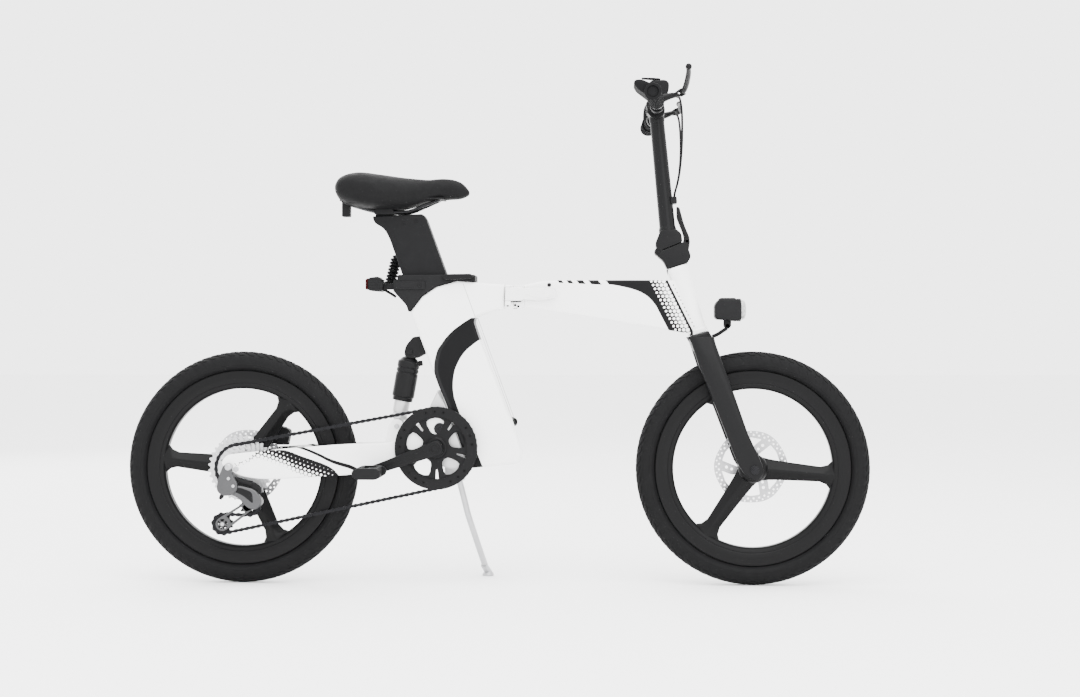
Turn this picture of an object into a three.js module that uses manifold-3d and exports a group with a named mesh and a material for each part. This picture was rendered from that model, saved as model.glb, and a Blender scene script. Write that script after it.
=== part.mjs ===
// Folding electric bicycle with 20 inch wheels, rear suspension and a fold in the middle of the frame.
// Millimetres. +X is forward, +Y is the rider's left, +Z is up; the origin is on the ground,
// midway between the two axles. Every sub-part is one closed mesh in its place on the whole bicycle.
import * as THREE from 'three';
import { mergeVertices } from 'three/addons/utils/BufferGeometryUtils.js';
import Module from 'manifold-3d';

const wasm = await Module();
wasm.setup();

// ---- driving dimensions ----
const GAP = 0.3;                      // clearance between touching pieces
const WHEELBASE = 1104;
const TYRE_RADIUS = 251.5;            // 20 x 1.95 tyre on a 406 mm rim
const TYRE_HALF_WIDTH = 25;
const RIM_RADIUS = 210;
const RIM_INNER_RADIUS = 170;
const REAR_AXLE = [-WHEELBASE / 2, TYRE_RADIUS];
const FRONT_AXLE = [WHEELBASE / 2, TYRE_RADIUS];
const REAR_SPOKES = [174, 54.5, 295];     // spoke directions, degrees up from forward
const FRONT_SPOKES = [355, 235, 115];
const REAR_DROPOUT = 67.5;            // half of the width between the swingarm ends
const FRONT_DROPOUT = 50.5;           // half of the width between the fork ends
const ROTOR_RADIUS = 80;
const ROTOR_Y = 45;                   // brake discs sit on the left of both hubs
const ROTOR_THICKNESS = 2;
const CRANK_CENTRE = [-127, 295.5];
const CRANK_LENGTH = 140;
const CRANK_ANGLE = 199.5;            // right crank, degrees up from forward
const CHAIN_Y = -46;
const CHAIN_WIDTH = 6.6;
const CHAIN_HEIGHT = 8;
const CHAIN_PLAY = 1.2;
const CHAINRING_PITCH = 85;
const SPROCKET_PITCH = 50.7;
const PULLEY_PITCH = 20.5;
const GUIDE_PULLEY = [-530, 171];
const TENSION_PULLEY = [-588, 131];
const SWINGARM_PIVOT = [-119.5, 337];
const SHOCK_TOP = [-186.5, 502];
const SHOCK_BOTTOM = [-215, 341];
const CASING_HALF_WIDTH = 32;
const POST_HALF_WIDTH = 22;
const POST_TILT = THREE.MathUtils.degToRad(20);
const HINGE_X = 38.3;                 // parting plane of the frame fold
const HINGE_PIN_Y = 41;
const HEAD_TOP = [391.9, 680.8];
const HEAD_TILT = THREE.MathUtils.degToRad(17.37);
const HEAD_LENGTH = 141.3;
const STEM_PIN = [350, 717];
const POST_FOOT = [371.6, 745];
const BAR_CENTRE = [344.8, 1021];
const GRIP_END = [332, 1021];
const BAR_HALF_WIDTH = 297;
const BAR_RADIUS = 11;
const GRIP_RADIUS = 16.5;
const LIGHT_PIVOT = [498, 558];
const STAND_PIVOT = [-90, 44, 236];
const STAND_AXIS = [-0.055, 0.941, 0.3345];

// ---- materials ----
const material = (color, roughness, metalness) => (
  new THREE.MeshStandardMaterial({ color, roughness, metalness })
);
const whitePaint = material(0xf4f4f4, 0.35, 0.0);
const blackPaint = material(0x1a1a1a, 0.45, 0.2);
const blackPlastic = material(0x222222, 0.6, 0.0);
const rubber = material(0x1c1c1c, 0.85, 0.0);
const softFoam = material(0x202020, 0.7, 0.0);
const steel = material(0xc4c6c8, 0.3, 0.9);
const greyAlloy = material(0x6a6a6a, 0.45, 0.6);
const lightAlloy = material(0xd6d6d6, 0.4, 0.5);
const darkSteel = material(0x2a2a2a, 0.4, 0.8);
const clearLens = material(0xe6e6e2, 0.1, 0.0);
const redLens = material(0x8c1616, 0.2, 0.0);

// ---- solids from three.js geometry ----
function toSolid(geometry) {
  const bare = geometry.clone();
  for (const name of Object.keys(bare.attributes)) {
    if (name !== 'position') bare.deleteAttribute(name);
  }
  const merged = mergeVertices(bare, 1e-4);
  return new wasm.Manifold(new wasm.Mesh({
    numProp: 3,
    vertProperties: new Float32Array(merged.attributes.position.array),
    triVerts: new Uint32Array(merged.index.array),
  }));
}

function toGeometry(solid) {
  const mesh = solid.getMesh();
  const geometry = new THREE.BufferGeometry();
  geometry.setAttribute('position', new THREE.BufferAttribute(new Float32Array(mesh.vertProperties), 3));
  geometry.setIndex(new THREE.BufferAttribute(new Uint32Array(mesh.triVerts), 1));
  geometry.computeVertexNormals();
  return geometry;
}

const join = (first, ...rest) => rest.reduce((whole, piece) => whole.add(piece), first);
const cut = (first, ...rest) => rest.reduce((whole, piece) => whole.subtract(piece), first);

// A straight round bar, or a cone, between two points.
function rod(from, to, startRadius, endRadius = startRadius, sides = 12) {
  const start = new THREE.Vector3(...from);
  const along = new THREE.Vector3(...to).sub(start);
  const geometry = new THREE.CylinderGeometry(endRadius, startRadius, along.length(), sides);
  geometry.translate(0, along.length() / 2, 0);
  const turn = new THREE.Quaternion().setFromUnitVectors(new THREE.Vector3(0, 1, 0), along.normalize());
  geometry.applyQuaternion(turn);
  geometry.translate(...from);
  return toSolid(geometry);
}

// A round bar across the bicycle, centred at a side-view point.
const crossRod = ([x, z], y0, y1, radius, sides = 12) => rod([x, y0, z], [x, y1, z], radius, radius, sides);

function block(x0, x1, y0, y1, z0, z1) {
  const geometry = new THREE.BoxGeometry(x1 - x0, y1 - y0, z1 - z0);
  geometry.translate((x0 + x1) / 2, (y0 + y1) / 2, (z0 + z1) / 2);
  return toSolid(geometry);
}

// A closed outline whose corners are [x, y] or [x, y, fillet].
function outline(corners) {
  const shape = new THREE.Shape();
  corners.forEach(([x, y, fillet = 0], i) => {
    const corner = new THREE.Vector2(x, y);
    const before = new THREE.Vector2(...corners.at(i - 1).slice(0, 2));
    const after = new THREE.Vector2(...corners[(i + 1) % corners.length].slice(0, 2));
    const reach = Math.min(fillet, 0.48 * corner.distanceTo(before), 0.48 * corner.distanceTo(after));
    const start = corner.clone().add(before.sub(corner).setLength(reach));
    const end = corner.clone().add(after.sub(corner).setLength(reach));
    if (i === 0) shape.moveTo(start.x, start.y);
    else shape.lineTo(start.x, start.y);
    if (fillet > 0) shape.quadraticCurveTo(x, y, end.x, end.y);
  });
  shape.closePath();
  return shape;
}

// A side-view outline (x, z) given thickness from y0 to y1, with rounded edges where bevel > 0.
function sidePlate(shape, y0, y1, bevel = 0, bevelSegments = 1, curveSegments = 2) {
  const geometry = new THREE.ExtrudeGeometry(shape, {
    depth: y1 - y0 - 2 * bevel,
    bevelEnabled: bevel > 0,
    bevelThickness: bevel,
    bevelSize: bevel,
    bevelOffset: -bevel,
    bevelSegments,
    curveSegments,
  });
  geometry.rotateX(Math.PI / 2);
  geometry.translate(0, y1 - bevel, 0);
  return toSolid(geometry);
}

// A plan-view outline (x, y) given height from z0 to z1.
function planPlate(shape, z0, z1) {
  const settings = { depth: z1 - z0, bevelEnabled: false, curveSegments: 2 };
  const geometry = new THREE.ExtrudeGeometry(shape, settings);
  geometry.translate(0, 0, z0);
  return toSolid(geometry);
}

// A front-view outline (y, z) given length from x0 to x1.
function frontPlate(shape, x0, x1) {
  const settings = { depth: x1 - x0, bevelEnabled: false, curveSegments: 2 };
  const geometry = new THREE.ExtrudeGeometry(shape, settings);
  geometry.rotateX(Math.PI / 2);
  geometry.rotateZ(Math.PI / 2);
  geometry.translate(x0, 0, 0);
  return toSolid(geometry);
}

// A body of revolution about a cross axis: [radius, y] corners, the outer side in rising y.
function turned([x, z], corners, sides = 36) {
  const profile = corners.map(([radius, y]) => new THREE.Vector2(radius, y));
  if (corners[0][0] > 0) profile.push(profile[0].clone());
  const geometry = new THREE.LatheGeometry(profile, sides);
  geometry.translate(x, 0, z);
  return toSolid(geometry);
}

// A bent round tube through side, plan or free points.
function tube(points, radius, sides = 8, steps = points.length * 3) {
  const circle = new THREE.Shape();
  circle.absarc(0, 0, radius, 0, 2 * Math.PI);
  const stations = points.map((point) => new THREE.Vector3(...point));
  const path = new THREE.CatmullRomCurve3(stations, false, 'centripetal');
  const section = new THREE.Shape(circle.getSpacedPoints(sides).slice(0, sides));
  return toSolid(new THREE.ExtrudeGeometry(section, { steps, extrudePath: path, bevelEnabled: false }));
}

const polar = ([x, z], radius, degrees) => {
  const angle = THREE.MathUtils.degToRad(degrees);
  return [x + radius * Math.cos(angle), z + radius * Math.sin(angle)];
};
const mirrorY = (solid) => solid.mirror([0, 1, 0]);
const alongHead = (distance) => [
  HEAD_TOP[0] - distance * Math.sin(HEAD_TILT),
  HEAD_TOP[1] + distance * Math.cos(HEAD_TILT),
];
const headRod = (from, to, startRadius, endRadius = startRadius, sides = 20) => {
  const [x0, z0] = alongHead(from);
  const [x1, z1] = alongHead(to);
  return rod([x0, 0, z0], [x1, 0, z1], startRadius, endRadius, sides);
};

const bicycle = new THREE.Group();
function addPart(name, solid, look) {
  const mesh = new THREE.Mesh(toGeometry(solid), look);
  mesh.name = name;
  bicycle.add(mesh);
}

// ---- rear frame: hollow casting that carries the seat post, the hinge and the bracket ----
const casingOutline = [
  [-184.4, 587.8], [-106, 382], [-56, 251], [53, 262, 11], [56, 286], [32, 355],
  [-34.6, 528], [-50, 574, 18], [-22.5, 585], [17, 595], [20, 646.5], [-83, 654.6],
  [-128, 642], [-158.7, 621],
];
const postRear = (z) => -206 + (671.5 - z) * Math.tan(POST_TILT);
const postFront = (z) => -108 + (671 - z) * Math.tan(POST_TILT);
const POST_BOTTOM = 480;
const POST_TRAVEL_DOWN = 70;

function postSlot(z0, z1, clearance) {
  const slot = outline([
    [postRear(z0) - clearance, z0, 6], [postFront(z0) + clearance, z0, 6],
    [postFront(z1) + clearance, z1], [postRear(z1) - clearance, z1],
  ]);
  return sidePlate(slot, -POST_HALF_WIDTH - clearance, POST_HALF_WIDTH + clearance);
}

function rearFrame() {
  const casing = sidePlate(outline(casingOutline), -CASING_HALF_WIDTH, CASING_HALF_WIDTH, 6, 2, 3);
  return cut(casing, postSlot(POST_BOTTOM - POST_TRAVEL_DOWN - 8, 720, 0.5));
}

function seatCover() {
  const cover = outline([
    [-221, 633], [-193, 602], [-188.5, 588.6], [-185.2, 588.6], [-159.5, 621.8], [-128.5, 642.9],
    [-83.2, 655.4], [-44, 652.6], [-44, 667.8], [-212, 668], [-212, 657], [-221, 656.5],
  ]);
  const rib = sidePlate(outline([[-219, 635.5], [-151, 635.5], [-151, 654.5], [-219, 654.5]]), -36.5, -33);
  return cut(join(sidePlate(cover, -34, 34), rib), postSlot(560, 720, 0.5));
}

// A rod on the kickstand's hinge axis, from and to being distances from its pivot.
function standRod(from, to, radius, sides = 20) {
  const end = (distance) => STAND_PIVOT.map((value, i) => value + distance * STAND_AXIS[i]);
  return rod(end(from), end(to), radius, radius, sides);
}

function pivotBracket() {
  const cheek = outline([
    [-124.8, 421, 3], [-107, 383], [-57.2, 252.5, 4], [-66, 247.5, 4], [-98, 248.5, 16],
    [-154, 268, 20], [-166, 310, 20], [-158, 352, 20],
  ]);
  const bracket = join(
    sidePlate(cheek, -27, 27),
    crossRod(CRANK_CENTRE, -33, 33, 23, 20),
    crossRod(SWINGARM_PIVOT, -32.5, 32.5, 17),
    block(-114, -70, 4, 27, 222, 252),
    standRod(-24, 8, 4, 12),
  );
  return cut(bracket, crossRod(CRANK_CENTRE, -40, 40, 9), crossRod(SWINGARM_PIVOT, -40, 40, 6.6));
}

const hingeKnuckle = (z0, z1) => rod([HINGE_X, HINGE_PIN_Y, z0], [HINGE_X, HINGE_PIN_Y, z1], 9, 9, 20);
const HINGE_LOW = 598;
const HINGE_HIGH = 645;
const KNUCKLE_LOW = 612;
const KNUCKLE_HIGH = 631;
const LATCH_PIN = [27, -38.7];
const LATCH_LOW = 611;
const LATCH_HIGH = 640.8;

// One half of the frame hinge: a plate on the parting plane with its knuckles on the left.
function hingeHalf(x0, x1, knuckles, spaces) {
  const plate = block(x0, x1, -30, 30, HINGE_LOW, HINGE_HIGH);
  const leaf = block(x0, x1, 29, HINGE_PIN_Y, HINGE_LOW, HINGE_HIGH);
  const rings = knuckles.map(([z0, z1]) => hingeKnuckle(z0, z1));
  const room = spaces.map(([z0, z1]) => (
    rod([HINGE_X, HINGE_PIN_Y, z0], [HINGE_X, HINGE_PIN_Y, z1], 9.6, 9.6, 20)
  ));
  return cut(join(plate, leaf, ...rings), ...room);
}

// The rear half also holds the hinge pin and the pin of the latch lever.
function rearHingeHalf() {
  const half = hingeHalf(
    20.4, HINGE_X - GAP,
    [[HINGE_LOW, KNUCKLE_LOW], [KNUCKLE_HIGH, HINGE_HIGH]],
    [[KNUCKLE_LOW, KNUCKLE_HIGH]],
  );
  const [px, py] = LATCH_PIN;
  return join(
    half,
    rod([HINGE_X, HINGE_PIN_Y, HINGE_LOW - 2], [HINGE_X, HINGE_PIN_Y, HINGE_HIGH + 2], 4, 4, 16),
    block(21, 33, -43, -29, HINGE_LOW + 4, LATCH_LOW - GAP),
    block(21, 33, -43, -29, LATCH_HIGH + GAP, HINGE_HIGH),
    rod([px, py, LATCH_LOW - 2], [px, py, LATCH_HIGH + 2], 3, 3, 12),
  );
}

function frontHingeHalf() {
  const half = hingeHalf(
    HINGE_X + GAP, 62,
    [[KNUCKLE_LOW + GAP, KNUCKLE_HIGH - GAP]],
    [[HINGE_LOW - 5, KNUCKLE_LOW + GAP], [KNUCKLE_HIGH - GAP, HINGE_HIGH + 5]],
  );
  return cut(half, rod([HINGE_X, HINGE_PIN_Y, 580], [HINGE_X, HINGE_PIN_Y, 660], 4.4, 4.4, 16));
}

// Teardrop lever that pulls the two halves of the frame hinge together.
function frameLatchLever() {
  const lever = outline([
    [21.2, LATCH_LOW], [56, LATCH_LOW], [58, 616], [96, 611.5, 24], [131, 618, 12], [131, 634, 12],
    [96, 641, 24], [57, 638], [56, LATCH_HIGH], [21.2, LATCH_HIGH],
  ]);
  const [px, py] = LATCH_PIN;
  return cut(sidePlate(lever, -44.5, -33), rod([px, py, 600], [px, py, 660], 3.4, 3.4, 12));
}

function shockBracket() {
  const arm = outline([
    [-165.4, 536], [-151.4, 499], [-174, 487, 8], [-200, 490, 10], [-196, 514, 8], [-180, 533, 4],
  ]);
  const fork = cut(sidePlate(arm, -19, 19), block(-215, -172, -12.4, 12.4, 480, 518));
  return join(fork, crossRod(SHOCK_TOP, -21, 21, 4, 16));
}

function tailLight() {
  const body = outline([[-277, 634.5, 4], [-247, 632, 5], [-243.5, 650, 4], [-254, 665, 4], [-277, 662, 6]]);
  return join(
    sidePlate(body, -24, 24),
    tube([[-250, 0, 640], [-228, 0, 627], [-216, 0, 619]], 3, 6, 6),
    block(-252, -221.4, -8, 8, 637, 650),
  );
}

function tailLens() {
  return sidePlate(outline([[-283, 637, 4], [-277.4, 636], [-277.4, 661], [-283, 659, 4]]), -22, 22);
}

addPart('rear_frame', rearFrame(), whitePaint);
addPart('seat_tube_cover', seatCover(), blackPlastic);
addPart('pivot_bracket', pivotBracket(), lightAlloy);
addPart('rear_hinge_half', rearHingeHalf(), whitePaint);
addPart('frame_latch_lever', frameLatchLever(), whitePaint);
addPart('shock_bracket', shockBracket(), blackPaint);
addPart('tail_light_body', tailLight(), blackPlastic);
addPart('tail_light_lens', tailLens(), redLens);

// ---- swingarm: two arms outside the wheel, joined by a bridge ahead of the tyre ----
function swingarm() {
  const armSide = outline([
    [-587, 262, 10], [-574, 283, 12], [-457, 295, 30], [-323, 304], [-224, 306, 14], [-150, 358, 22],
    [-108, 364, 18], [-93, 340, 24], [-108, 312, 18], [-140, 314, 10], [-172, 290, 14], [-212, 256, 24],
    [-299, 238.5, 20], [-386, 234],
    [-492, 229, 20], [-546, 236, 16],
  ]);
  const armPlan = outline([
    [-90, 33.4], [-90, 41], [-262, 42, 20], [-430, 77, 30], [-600, 80], [-600, REAR_DROPOUT],
    [-440, 64.5, 30], [-290, 33.4, 20],
  ]);
  const left = sidePlate(armSide, 20, 90).intersect(planPlate(armPlan, 200, 400));
  const bridge = sidePlate(outline([
    [-276, 248, 8], [-186, 262, 8], [-180, 296, 8], [-264, 300, 8],
  ]), -38, 38);
  const shockEar = sidePlate(outline([
    [-246, 280], [-190, 280], [-200, 345, 12], [-208, 356, 8], [-222, 356, 8], [-232, 345, 10],
  ]), 12.6, 20);
  const body = join(left, mirrorY(left), bridge, shockEar, mirrorY(shockEar));
  const bored = cut(body, crossRod(REAR_AXLE, -100, 100, 6.6), crossRod(SWINGARM_PIVOT, -60, 60, 6.6));
  return join(bored, crossRod(SHOCK_BOTTOM, -22, 22, 4, 16));
}

function throughBolt(centre, halfLength, radius, headRadius, headLength, sides = 14) {
  return join(
    crossRod(centre, -halfLength, halfLength, radius, sides),
    crossRod(centre, halfLength, halfLength + headLength, headRadius, sides),
    crossRod(centre, -halfLength - headLength, -halfLength, headRadius, sides),
  );
}

// The rear axle is flush on the right, beside the hanger bolt, and has a nut on the left.
const rearAxle = () => join(crossRod(REAR_AXLE, -82, 82, 6), crossRod(REAR_AXLE, 80.3, 89, 11));

function derailleurBody() {
  const knuckle = outline([
    [-578, 264, 8], [-560, 264, 6], [-560, 240, 8], [-546, 222, 6], [-546, 208, 6],
    [-556, 196, 8], [-580, 193, 10],
    [-594, 206, 10], [-590, 232, 8],
  ]);
  const link = outline([
    [-566, 214, 6], [-545, 216, 6], [-508, 208, 12], [-494, 184, 12], [-506, 164, 12], [-526, 168, 6],
    [-546, 190, 8], [-566, 200, 6],
  ]);
  const hanger = crossRod([-567.5, 256], -95, -80.3, 8);
  return join(
    sidePlate(knuckle, -92, -80.3),
    sidePlate(link, -88, -66),
    crossRod([-509, 182], -88, -63, 13, 20),
    hanger,
  );
}

// A toothed pulley of the derailleur.
function pulley(centre) {
  const wheel = turned(centre, [
    [4.3, CHAIN_Y - 3.5], [8, CHAIN_Y - 3.5], [8.5, CHAIN_Y - 1.5], [16, CHAIN_Y - 1.2], [16, CHAIN_Y + 1.2],
    [8.5, CHAIN_Y + 1.5], [8, CHAIN_Y + 3.5], [4.3, CHAIN_Y + 3.5],
  ], 12);
  return wheel;
}

function derailleurCage() {
  const [gx, gz] = GUIDE_PULLEY;
  const [tx, tz] = TENSION_PULLEY;
  const angle = Math.atan2(gz - tz, gx - tx);
  const across = [-Math.sin(angle), Math.cos(angle)];
  const plateShape = () => {
    const shape = new THREE.Shape();
    shape.absarc(gx, gz, 11, angle - Math.PI / 2, angle + Math.PI / 2);
    shape.lineTo(tx + across[0] * 15, tz + across[1] * 15);
    shape.absarc(tx, tz, 15, angle + Math.PI / 2, angle + 1.5 * Math.PI);
    shape.closePath();
    return shape;
  };
  const outer = sidePlate(plateShape(), CHAIN_Y - 7, CHAIN_Y - 4.6, 0, 1, 8);
  const inner = sidePlate(plateShape(), CHAIN_Y + 4.6, CHAIN_Y + 6.4, 0, 1, 8);
  const axles = [GUIDE_PULLEY, TENSION_PULLEY].map((c) => crossRod(c, CHAIN_Y - 7, CHAIN_Y + 6.4, 3.6, 12));
  const pivot = crossRod([-509, 182], -62.7, CHAIN_Y - 4.6, 9, 16);
  const web = sidePlate(outline([
    [-515, 196], [-501, 172], [-540, 156], [-546, 168],
  ]), CHAIN_Y - 7, CHAIN_Y - 4.6);
  return join(outer, inner, ...axles, pivot, web);
}

function rearCaliper() {
  const body = outline([[-498, 300, 6], [-462, 300, 6], [-456, 330, 8], [-488, 342, 8], [-510, 328, 8]]);
  const caliper = sidePlate(body, 33, 58);
  const slot = sidePlate(outline([
    [-530, 290], [-470, 290], [-484, 330], [-530, 330],
  ]), ROTOR_Y - 2.6, ROTOR_Y + 2.6);
  const foot = sidePlate(outline([[-492, 296], [-464, 296], [-464, 306], [-492, 306]]), 55, 70);
  return cut(join(caliper, foot), slot);
}

addPart('swingarm', swingarm(), whitePaint);
addPart('swingarm_pivot_bolt', throughBolt(SWINGARM_PIVOT, 41.6, 6, 13, 2.4), darkSteel);
addPart('rear_axle', rearAxle(), steel);
addPart('derailleur_body', derailleurBody(), greyAlloy);
addPart('derailleur_cage', derailleurCage(), greyAlloy);
addPart('guide_pulley', pulley(GUIDE_PULLEY), blackPlastic);
addPart('tension_pulley', pulley(TENSION_PULLEY), blackPlastic);

// ---- wheels ----
function tyre(axle) {
  return turned(axle, [
    [203.6, -11], [211.5, -11.4], [219, -23], [230, -TYRE_HALF_WIDTH], [243, -20],
    [TYRE_RADIUS, -3], [TYRE_RADIUS, 3], [243, 20], [230, TYRE_HALF_WIDTH], [219, 23], [211.5, 11.4],
    [203.6, 11],
  ], 36);
}

function spoke(axle, degrees) {
  const blade = outline([
    [22, -23], [60, -20], [150, -15.5], [172, -32], [172, 32], [150, 15.5], [60, 20], [22, 23],
  ]);
  const solid = sidePlate(blade, -14, 14, 6, 1, 1);
  return solid.rotate([0, -degrees, 0]).translate([axle[0], 0, axle[1]]);
}

function castWheel(axle, spokes, hub) {
  const rim = turned(axle, [
    [RIM_INNER_RADIUS, -9], [179, -15], [RIM_RADIUS, -16], [RIM_RADIUS, -12.2], [203.2, -11.8],
    [203.2, 11.8], [RIM_RADIUS, 12.2], [RIM_RADIUS, 16], [179, 15], [RIM_INNER_RADIUS, 9],
  ], 36);
  const barrel = turned(axle, hub, 14);
  const bore = crossRod(axle, -90, 90, 6.7);
  return cut(join(rim, barrel, ...spokes.map((degrees) => spoke(axle, degrees))), bore);
}

const rearHub = [
  [0, -27.5], [34, -27.5], [38, -22], [38, 24], [34, 34], [24, 38], [24, 43.6], [14, 43.6], [14, 64], [0, 64],
];
const frontHub = [
  [0, -48], [13, -48], [16, -34], [28, -27], [32, -20], [32, 22], [26, 34], [24, 38], [24, 43.6], [12, 43.6],
  [12, 48], [0, 48],
];

function brakeRotor(axle) {
  const y0 = ROTOR_Y - ROTOR_THICKNESS / 2;
  const y1 = ROTOR_Y + ROTOR_THICKNESS / 2;
  const track = turned(axle, [[65, y0], [ROTOR_RADIUS, y0], [ROTOR_RADIUS, y1], [65, y1]], 24);
  const carrier = turned(axle, [[15, y0], [27, y0], [27, y1], [15, y1]], 12);
  const arm = sidePlate(outline([[22, -4], [67, 12], [67, 20], [22, 6]]), y0, y1);
  const arms = [0, 120, 240].map((a) => arm.rotate([0, -a, 0]).translate([axle[0], 0, axle[1]]));
  return join(track, carrier, ...arms);
}

function cassette() {
  const toothed = [[34, -32], [31, -36.6], [28, -41.2], [25, -46], [21, -50.8], [17, -55.4], [13, -60]];
  const steps = [];
  for (const [teeth, y] of toothed) {
    const radius = teeth === 25 ? SPROCKET_PITCH - CHAIN_HEIGHT / 2 - CHAIN_PLAY : teeth * 2.035;
    const inner = y === -32 ? -30.6 : y + 2.3;
    steps.unshift([radius, y - (teeth === 28 ? 1 : 2.29)], [radius, teeth === 25 ? inner + 1.4 : inner]);
  }
  return turned(REAR_AXLE, [[11, -62.3], ...steps, [11, -30.6]], 18);
}

for (const [prefix, axle, spokes, hub] of [
  ['rear', REAR_AXLE, REAR_SPOKES, rearHub], ['front', FRONT_AXLE, FRONT_SPOKES, frontHub],
]) {
  addPart(`${prefix}_tyre`, tyre(axle), rubber);
  addPart(`${prefix}_wheel`, castWheel(axle, spokes, hub), blackPaint);
  addPart(`${prefix}_brake_rotor`, brakeRotor(axle), steel);
}
addPart('cassette', cassette(), steel);
addPart('rear_caliper', rearCaliper(), blackPaint);


// ---- chain and cranks ----
// The chain's side-view loop, moved outwards by offset: each wheel is [centre, radius, sense],
// and sense is -1 where the chain turns clockwise in the side view.
function chainLoop(offset) {
  const wheels = [
    [CRANK_CENTRE, CHAINRING_PITCH, -1],
    [TENSION_PULLEY, PULLEY_PITCH, -1],
    [GUIDE_PULLEY, PULLEY_PITCH, 1],
    [REAR_AXLE, SPROCKET_PITCH, -1],
  ].map(([centre, radius, sense]) => [centre, radius - sense * offset, sense]);
  const tangentAngle = (from, to) => {
    const [[x0, z0], r0, s0] = from;
    const [[x1, z1], r1, s1] = to;
    const across = s1 * r1 - s0 * r0;
    return Math.atan2(z1 - z0, x1 - x0) - Math.asin(across / Math.hypot(x1 - x0, z1 - z0));
  };
  const points = [];
  wheels.forEach((wheel, i) => {
    const [centre, radius, sense] = wheel;
    const arrive = tangentAngle(wheels.at(i - 1), wheel) - sense * Math.PI / 2;
    const leave = tangentAngle(wheel, wheels[(i + 1) % wheels.length]) - sense * Math.PI / 2;
    const turn = 2 * Math.PI;
    const sweep = sense * (((sense * (leave - arrive)) % turn + turn) % turn);
    const steps = Math.max(4, Math.ceil(Math.abs(sweep) / 0.25));
    for (let step = 0; step <= steps; step += 1) {
      const angle = arrive + sweep * step / steps;
      points.push(new THREE.Vector2(
        centre[0] + radius * Math.cos(angle),
        centre[1] + radius * Math.sin(angle),
      ));
    }
  });
  return points;
}

function chain() {
  const plate = (offset, halfWidth) => sidePlate(
    new THREE.Shape(chainLoop(offset)), CHAIN_Y - halfWidth, CHAIN_Y + halfWidth,
  );
  return cut(plate(CHAIN_HEIGHT / 2, CHAIN_WIDTH / 2), plate(-CHAIN_HEIGHT / 2, CHAIN_WIDTH));
}

// Chainring, its five-armed spider and the guard ring outside the chain.
function chainring() {
  const rim = CHAINRING_PITCH - CHAIN_HEIGHT / 2 - CHAIN_PLAY;
  const body = turned(CRANK_CENTRE, [
    [9.2, CHAIN_Y - 5], [24, CHAIN_Y - 5], [24, CHAIN_Y - 1.5], [rim, CHAIN_Y - 1.5], [rim, CHAIN_Y + 1.5],
    [9.2, CHAIN_Y + 1.5],
  ], 24);
  const guard = turned(CRANK_CENTRE, [
    [66, CHAIN_Y - 6], [89, CHAIN_Y - 6], [89, CHAIN_Y - 3.7], [66, CHAIN_Y - 3.7],
  ], 24);
  const window = sidePlate(outline([[30, -9, 6], [62, -20, 12], [62, 20, 12], [30, 9, 6]]), -60, -30);
  const windows = [];
  const posts = [];
  for (let arm = 0; arm < 5; arm += 1) {
    const turn = 20 + 72 * arm;
    windows.push(window.rotate([0, -turn, 0]).translate([CRANK_CENTRE[0], 0, CRANK_CENTRE[1]]));
    posts.push(crossRod(polar(CRANK_CENTRE, 72, turn + 36), CHAIN_Y - 4, CHAIN_Y - 1, 5, 10));
  }
  return join(cut(body, ...windows), guard, ...posts);
}

// A crank arm with its pedal spindle, from the crank's end; side is -1 on the right.
function crankArm(side, degrees) {
  const [px, pz] = polar(CRANK_CENTRE, CRANK_LENGTH, degrees);
  const shape = outline([
    [-16, -17, 14], [14, -15, 12], [CRANK_LENGTH - 14, -11, 10], [CRANK_LENGTH + 12, -12, 11],
    [CRANK_LENGTH + 12, 12, 11], [CRANK_LENGTH - 14, 11, 10], [14, 15, 12], [-16, 17, 14],
  ]);
  const arm = sidePlate(shape, 58, 71, 3, 1).rotate([0, -degrees, 0]);
  const placed = arm.translate([CRANK_CENTRE[0], 0, CRANK_CENTRE[1]]);
  const spindle = crossRod([px, pz], 69, 178, 5, 16);
  const boss = crossRod(CRANK_CENTRE, 51.6, 60, 15, 24);
  const whole = join(placed, spindle, boss);
  return side < 0 ? mirrorY(whole) : whole;
}

function rightCrank() {
  return cut(crankArm(-1, CRANK_ANGLE), crossRod(CRANK_CENTRE, -90, -40, 8.6));
}

function leftCrank() {
  return join(crankArm(1, CRANK_ANGLE - 180), crossRod(CRANK_CENTRE, -66, 60, 8.2));
}

function pedal(side, degrees) {
  const [px, pz] = polar(CRANK_CENTRE, CRANK_LENGTH, degrees);
  const shape = outline([
    [px - 30, pz - 5, 5], [px - 20, pz - 12, 6], [px + 20, pz - 12, 6], [px + 30, pz - 5, 5],
    [px + 30, pz + 5, 5], [px + 20, pz + 12, 6], [px - 20, pz + 12, 6], [px - 30, pz + 5, 5],
  ]);
  const body = cut(sidePlate(shape, 84, 184), crossRod([px, pz], 80, 179, 5.4, 16));
  return side < 0 ? mirrorY(body) : body;
}

addPart('chain', chain(), darkSteel);
addPart('chainring', chainring(), blackPaint);
addPart('crank_arm_right', rightCrank(), blackPaint);
addPart('crank_arm_left', leftCrank(), blackPaint);
addPart('pedal_right', pedal(-1, CRANK_ANGLE), blackPlastic);
addPart('pedal_left', pedal(1, CRANK_ANGLE - 180), blackPlastic);

// ---- shock absorber ----
const shockRod = (from, to, radius, sides = 18) => {
  const axis = new THREE.Vector2(...SHOCK_BOTTOM).sub(new THREE.Vector2(...SHOCK_TOP)).normalize();
  const at = (distance) => [SHOCK_TOP[0] + axis.x * distance, 0, SHOCK_TOP[1] + axis.y * distance];
  return rod(at(from), at(to), radius, radius, sides);
};

function shockBody() {
  const body = join(
    shockRod(19, 108, 24),
    shockRod(14, 20, 19),
    crossRod(SHOCK_TOP, -11.5, 11.5, 11.5, 24),
    shockRod(4, 20, 9),
  );
  return cut(body, shockRod(58, 120, 17.5), crossRod(SHOCK_TOP, -20, 20, 4.4, 16));
}

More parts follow.
